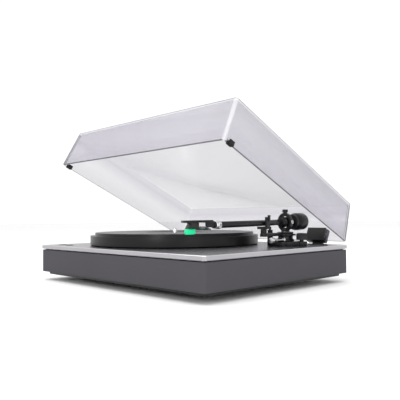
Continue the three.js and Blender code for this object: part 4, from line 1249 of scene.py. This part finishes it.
class TURNTABLE_OT_tube(bpy.types.Operator):
    """Straight arm tube in its bearing block, with the locking collar"""

    bl_idname = "turntable.tube"
    bl_label = "Arm Tube"

    def execute(self, context):
        teeth = context.scene.turntable_arm.knurl_teeth
        place = ARM @ ALONG_Y
        low, high = measure("arm_tube", ARM)
        radius = high.x
        tube = new_rod(radius, low.y, high.y, place)
        soften(tube, 0.3 * MM)
        add_piece(tube, "tube_drawn", [anodised()], ["arm_tube"])
        low, high = measure("bearing_block", ARM)
        block = high.x
        profile = [
            (radius, low.y),
            (block - 1.5 * MM, low.y),
            (block - 1.5 * MM, -8.5 * MM),
            (block, -8 * MM),
            (block, -3 * MM),
            (block - 0.4 * MM, -2.6 * MM),
            (block - 0.4 * MM, -2 * MM),
            (block, -1.6 * MM),
            (block, high.y),
            (0, high.y),
        ]
        bm = new_turned(profile, place, 72)
        soften(bm, 0.35 * MM)
        add_piece(bm, "bearing_block_turned", [anodised()], ["bearing_block"])
        low, high = measure("locking_collar", ARM)
        collar = high.x
        profile = [
            (radius + 0.2 * MM, low.y),
            (collar - 0.6 * MM, low.y),
            (collar, low.y + 0.8 * MM),
            (collar, low.y + 4 * MM),
            (collar - 0.5 * MM, low.y + 4.4 * MM),
            (collar - 0.5 * MM, low.y + 5 * MM),
            (collar, low.y + 5.4 * MM),
            (collar, high.y - 1 * MM),
            (collar - 0.7 * MM, high.y),
            (radius + 0.2 * MM, high.y),
            (radius + 0.2 * MM, low.y),
        ]
        bm = new_turned(profile, place, 2 * teeth)
        knurl(bm, place, low.y + 5.2 * MM, high.y - 0.5 * MM, collar, 0.3 * MM, teeth)
        add_piece(bm, "collar_knurled", [steel()], ["locking_collar"])
        return {"FINISHED"}


class TURNTABLE_OT_headshell(bpy.types.Operator):
    """Headshell, finger lift, cartridge, stylus and lead wires"""

    bl_idname = "turntable.headshell"
    bl_label = "Headshell and Cartridge"

    def execute(self, context):
        settings = context.scene.turntable_arm
        colour = tuple(settings.stylus_colour)
        green = grained("stylus_plastic", colour, 0.35, grain=1200, spread=0.1)
        looks = {
            "headshell": (0.35 * MM, anodised()),
            "finger_lift": (0.25 * MM, anodised()),
            "cartridge": (0.5 * MM, moulded()),
            "stylus": (0.7 * MM, green),
        }
        for node, (width, finish) in looks.items():
            bm = new_copy(node)
            soften(bm, width, 2)
            add_piece(bm, f"{node}_shaped", [finish], [node])
        self.add_wires(settings)
        return {"FINISHED"}

    @staticmethod
    def add_wires(settings):
        """Four lead wires that sag from the headshell's neck to the cartridge's rear."""
        start = measure("locking_collar", ARM)[0].y - 0.5 * MM
        turn = Matrix.Rotation(settings.shell_offset, 4, "Z")
        shell = ARM @ Matrix.Translation((0, start, 0)) @ turn
        rear = measure("cartridge", shell)[1].y
        colours = {
            "white": (0.75, 0.75, 0.75),
            "red": (0.60, 0.02, 0.02),
            "blue": (0.02, 0.08, 0.40),
            "green": (0.02, 0.30, 0.08),
        }
        for i, (name, colour) in enumerate(colours.items()):
            across = (i - 1.5) * MM
            neck_end = Vector((across, -11 * MM, -1 * MM))
            rear_end = Vector((3 * across, rear - 0.5 * MM, -1 * MM))
            low = (neck_end + rear_end) / 2 - Vector((0, 0, (5 + i) * MM))
            points = []
            for step in range(13):
                way = step / 12
                near = neck_end.lerp(low, way)
                points.append(shell @ near.lerp(low.lerp(rear_end, way), way))
            wire = new_wire(points, settings.wire_radius)
            finish = grained(f"wire_{name}", colour, 0.4)
            add_piece(wire, f"lead_wire_{name}", [finish], [], "tonearm")


class TURNTABLE_OT_counterweight(bpy.types.Operator):
    """Counterweight, and the force dial in front of it"""

    bl_idname = "turntable.counterweight"
    bl_label = "Counterweight"

    def execute(self, context):
        teeth = context.scene.turntable_arm.knurl_teeth
        place = ARM @ ALONG_Y
        low, high = measure("counterweight", ARM)
        radius = high.x
        inner = 6.9 * MM
        profile = [
            (inner, low.y),
            (radius - 4.5 * MM, low.y),
            (radius - 3 * MM, low.y + 1.5 * MM),
            (radius - 1.5 * MM, low.y + 4 * MM),
            (radius - 0.5 * MM, low.y + 6.5 * MM),
            (radius, low.y + 9 * MM),
            (radius, high.y - 6 * MM),
            (radius - 0.5 * MM, high.y - 3.5 * MM),
            (radius - 1.6 * MM, high.y - 1.5 * MM),
            (radius - 4 * MM, high.y),
            (radius - 7 * MM, high.y),
            (radius - 7.6 * MM, high.y - 0.7 * MM),
            (0, high.y - 0.7 * MM),
            (0, high.y - 2.5 * MM),
            (inner, high.y - 2.5 * MM),
            (inner, low.y),
        ]
        bm = new_turned(profile, place, 96)
        soften(bm, 0.2 * MM, 1)
        add_piece(bm, "counterweight_turned", [anodised()], ["counterweight"])
        low, high = measure("force_dial", ARM)
        radius = high.x
        profile = [
            (inner, low.y),
            (radius - 1 * MM, low.y),
            (radius - 0.4 * MM, low.y + 0.6 * MM),
            (radius, high.y - 0.8 * MM),
            (radius - 0.6 * MM, high.y),
            (inner, high.y),
            (inner, low.y),
        ]
        bm = new_turned(profile, place, 2 * teeth)
        add_piece(bm, "force_dial_ring", [moulded()], ["force_dial"])
        return {"FINISHED"}


class TURNTABLE_OT_lid(bpy.types.Operator):
    """Clear lid with leaning walls, rounded corners and bevelled rims; the rims and corners facing the front and
    right are painted dark as shade, and the front-right corner is painted pale as a highlight
    """

    bl_idname = "turntable.lid"
    bl_label = "Lid"

    def execute(self, context):
        settings = context.scene.turntable_lid
        low, high = measure("lid", LID)
        crown = [point for point in node_points("lid", LID) if point.z > high.z - 0.5 * MM]
        crown_low, crown_high = corners(crown)
        wall, edge, corner_highlight = range(3)
        bm = new_block(low, high)
        top = max(bm.faces, key=lambda face: face.calc_center_median().z)
        shrink = ((crown_high.x - crown_low.x) / (high.x - low.x),
                  (crown_high.y - crown_low.y) / (high.y - low.y), 1)
        bmesh.ops.scale(bm, vec=shrink, space=Matrix.Translation(-(low + high) / 2), verts=top.verts)
        shift = (crown_low + crown_high) / 2 - (low + high) / 2
        bmesh.ops.translate(bm, vec=(shift.x, shift.y, 0), verts=top.verts)
        soften(bm, settings.corner_radius, 5, upright_edges(bm), material=corner_highlight)
        top = max(bm.faces, key=lambda face: face.calc_center_median().z)
        soften(bm, 1.7 * MM, 2, list(top.edges), material=edge)
        middle = (low + high) / 2
        # Painted shade and highlight: the top rims facing the front and right and the front-left and back-right
        # corners keep the dark painted outline, the front-right corner keeps the pale painted highlight, and the
        # rest takes the wall's finish.
        for face in bm.faces:
            centre = face.calc_center_median() - middle
            front_outline_shade = centre.y < 0 and abs(face.normal.x) < 0.3
            right_outline_shade = centre.x > 0 and abs(face.normal.y) < 0.3
            if face.material_index == edge and not (front_outline_shade or right_outline_shade):
                face.material_index = wall
            if face.material_index == corner_highlight and centre.x < 0:
                face.material_index = edge if centre.y < 0 else wall
            elif face.material_index == corner_highlight and centre.y > 0:
                face.material_index = edge
        rim = min(bm.faces, key=lambda face: face.calc_center_median().z)
        bmesh.ops.delete(bm, geom=[rim], context="FACES_ONLY")
        bmesh.ops.transform(bm, matrix=LID, verts=bm.verts)
        bmesh.ops.recalc_face_normals(bm, faces=bm.faces)
        tint = tuple(settings.tint)
        # Dark painted shade for the outlines along the rims and the walls' cut edge.
        outline_shade_dark = (0.035, 0.034, 0.04)
        # Pale painted highlight for the front-right upright corner.
        pale = (0.9, 0.89, 0.93)
        # Lighter wall colour at a slant: a painted reflection.
        slant_tint_with_reflection = (0.44, 0.41, 0.51)
        walls = clear("clear_acrylic", tint, slant_tint_with_reflection, settings.density, 0.45)
        edges = clear("acrylic_edge_shade", outline_shade_dark, outline_shade_dark, 0.62, 0.9, 0.3, 1)
        corner_highlight_finish = clear("acrylic_corner_highlight", pale, pale, 0.2, 0.4, 0.08)
        piece = add_piece(bm, "clear_lid_shell", [walls, edges, corner_highlight_finish], ["lid"])
        shell = piece.modifiers.new("wall", "SOLIDIFY")
        shell.thickness = settings.wall
        shell.offset = -1
        shell.use_even_offset = True
        shell.use_rim = True
        # The cut rim of the walls takes the dark painted outline too.
        shell.material_offset_rim = edge
        return {"FINISHED"}


class TURNTABLE_OT_hinges(bpy.types.Operator):
    """Lid clamps, bumpers and the hinge bases behind the plinth"""

    bl_idname = "turntable.hinges"
    bl_label = "Hinges"

    def execute(self, context):
        for side in ("left", "right"):
            looks = {
                f"lid_clamp_{side}": (1.2 * MM, moulded()),
                f"lid_bumper_{side}": (0.6 * MM, rubber()),
                f"hinge_base_{side}": (0.6 * MM, anodised()),
            }
            for node, (width, finish) in looks.items():
                bm = new_copy(node)
                soften(bm, width, 3)
                add_piece(bm, f"{node}_rounded", [finish], [node])
        return {"FINISHED"}


class TURNTABLE_OT_stage(bpy.types.Operator):
    """Camera, pale floor and soft light"""

    bl_idname = "turntable.stage"
    bl_label = "Stage"

    def execute(self, context):
        settings = context.scene.turntable_stage
        self.add_camera(context, settings)
        floor = self.add_floor(settings)
        self.add_sky(context, settings)
        # name, place, target, size in metres and power in watts
        lights = [
            ("light_over", (-0.2, -0.2, 1.9), (0, 0, 0), 2.2, 25),
            ("light_front", (0.75, -1.7, 0.7), (0, 0, 0.08), 0.35, 6),
            ("light_side", (1.7, -0.7, 0.6), (0, 0, 0.05), 0.9, 3.5),
        ]
        for name, place, target, size, power in lights:
            self.add_light(context, name, place, target, size, power)
        return {"FINISHED"}

    @staticmethod
    def add_camera(context, settings):
        """The camera, turned left, tilted up and rolled."""
        turn, tilt, roll = settings.camera_turn
        data = bpy.data.cameras.new("camera")
        data.lens = settings.camera_lens
        data.sensor_width = 36
        data.clip_start = 0.01
        camera = bpy.data.objects.new("camera", data)
        low, high = measure("top_plate")
        front = Vector(((low.x + high.x) / 2, low.y, high.z))
        place = Matrix.Translation(front + Vector(settings.camera_place))
        level = Matrix.Rotation(turn, 4, "Z") @ Matrix.Rotation(math.pi / 2 + tilt, 4, "X")
        camera.matrix_world = place @ level @ Matrix.Rotation(roll, 4, "Z")
        context.scene.collection.objects.link(camera)
        context.scene.camera = camera

    @staticmethod
    def add_floor(settings):
        """A wide floor at the height that the feet stand on."""
        bm = bmesh.new()
        bmesh.ops.create_grid(bm, x_segments=2, y_segments=2, size=12)
        mesh = bpy.data.meshes.new("floor")
        bm.to_mesh(mesh)
        bm.free()
        floor = bpy.data.objects.new("floor", mesh)
        colour = tuple(settings.floor_colour)
        mesh.materials.append(
            grained("pale_floor", colour, 0.75, grain=60, blotch=1.5, spread=0.01, bump=0.01)
        )
        bpy.context.scene.collection.objects.link(floor)
        return floor

    @staticmethod
    def add_sky(context, settings):
        """Even white light from all round."""
        world = bpy.data.worlds.new("sky")
        world.use_nodes = True
        background = world.node_tree.nodes["Background"]
        background.inputs["Color"].default_value = (1, 1, 1, 1)
        background.inputs["Strength"].default_value = settings.sky
        context.scene.world = world
        context.scene.view_settings.view_transform = "Standard"

    @staticmethod
    def add_light(context, name, place, target, size, power):
        """A soft square lamp that faces a point."""
        data = bpy.data.lights.new(name, "AREA")
        data.size = size
        data.energy = power
        lamp = bpy.data.objects.new(name, data)
        lamp.location = place
        way = Vector(target) - Vector(place)
        lamp.rotation_mode = "QUATERNION"
        lamp.rotation_quaternion = way.to_track_quat("-Z", "Y")
        context.scene.collection.objects.link(lamp)


SETTINGS = {
    "turntable_body": TURNTABLE_PG_body,
    "turntable_platter": TURNTABLE_PG_platter,
    "turntable_arm": TURNTABLE_PG_arm,
    "turntable_lid": TURNTABLE_PG_lid,
    "turntable_stage": TURNTABLE_PG_stage,
}
OPERATORS = (
    TURNTABLE_OT_stage,
    TURNTABLE_OT_plinth,
    TURNTABLE_OT_top_plate,
    TURNTABLE_OT_buttons,
    TURNTABLE_OT_feet,
    TURNTABLE_OT_connections,
    TURNTABLE_OT_platter,
    TURNTABLE_OT_drive,
    TURNTABLE_OT_arm_base,
    TURNTABLE_OT_lift,
    TURNTABLE_OT_anti_skate,
    TURNTABLE_OT_cradle,
    TURNTABLE_OT_yoke,
    TURNTABLE_OT_tube,
    TURNTABLE_OT_headshell,
    TURNTABLE_OT_counterweight,
    TURNTABLE_OT_lid,
    TURNTABLE_OT_hinges,
)


class TURNTABLE_PT_build(bpy.types.Panel):
    """Lists the settings and the build steps."""

    bl_idname = "TURNTABLE_PT_build"
    bl_label = "Turntable"
    bl_space_type = "VIEW_3D"
    bl_region_type = "UI"
    bl_category = "Turntable"

    def draw(self, context):
        for name, group in SETTINGS.items():
            box = self.layout.box()
            settings = getattr(context.scene, name)
            for key in group.__annotations__:
                box.prop(settings, key)
        for operator in OPERATORS:
            self.layout.operator(operator.bl_idname)


CLASSES = (*SETTINGS.values(), *OPERATORS, TURNTABLE_PT_build)


def register():
    for item in CLASSES:
        bpy.utils.register_class(item)
    for name, group in SETTINGS.items():
        setattr(bpy.types.Scene, name, PointerProperty(type=group))


def unregister():
    for name in SETTINGS:
        delattr(bpy.types.Scene, name)
    for item in reversed(CLASSES):
        bpy.utils.unregister_class(item)


def main():
    """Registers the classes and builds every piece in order."""
    register()
    for operator in OPERATORS:
        group, step = operator.bl_idname.split(".")
        getattr(getattr(bpy.ops, group), step)()


if __name__ == "__main__":
    main()
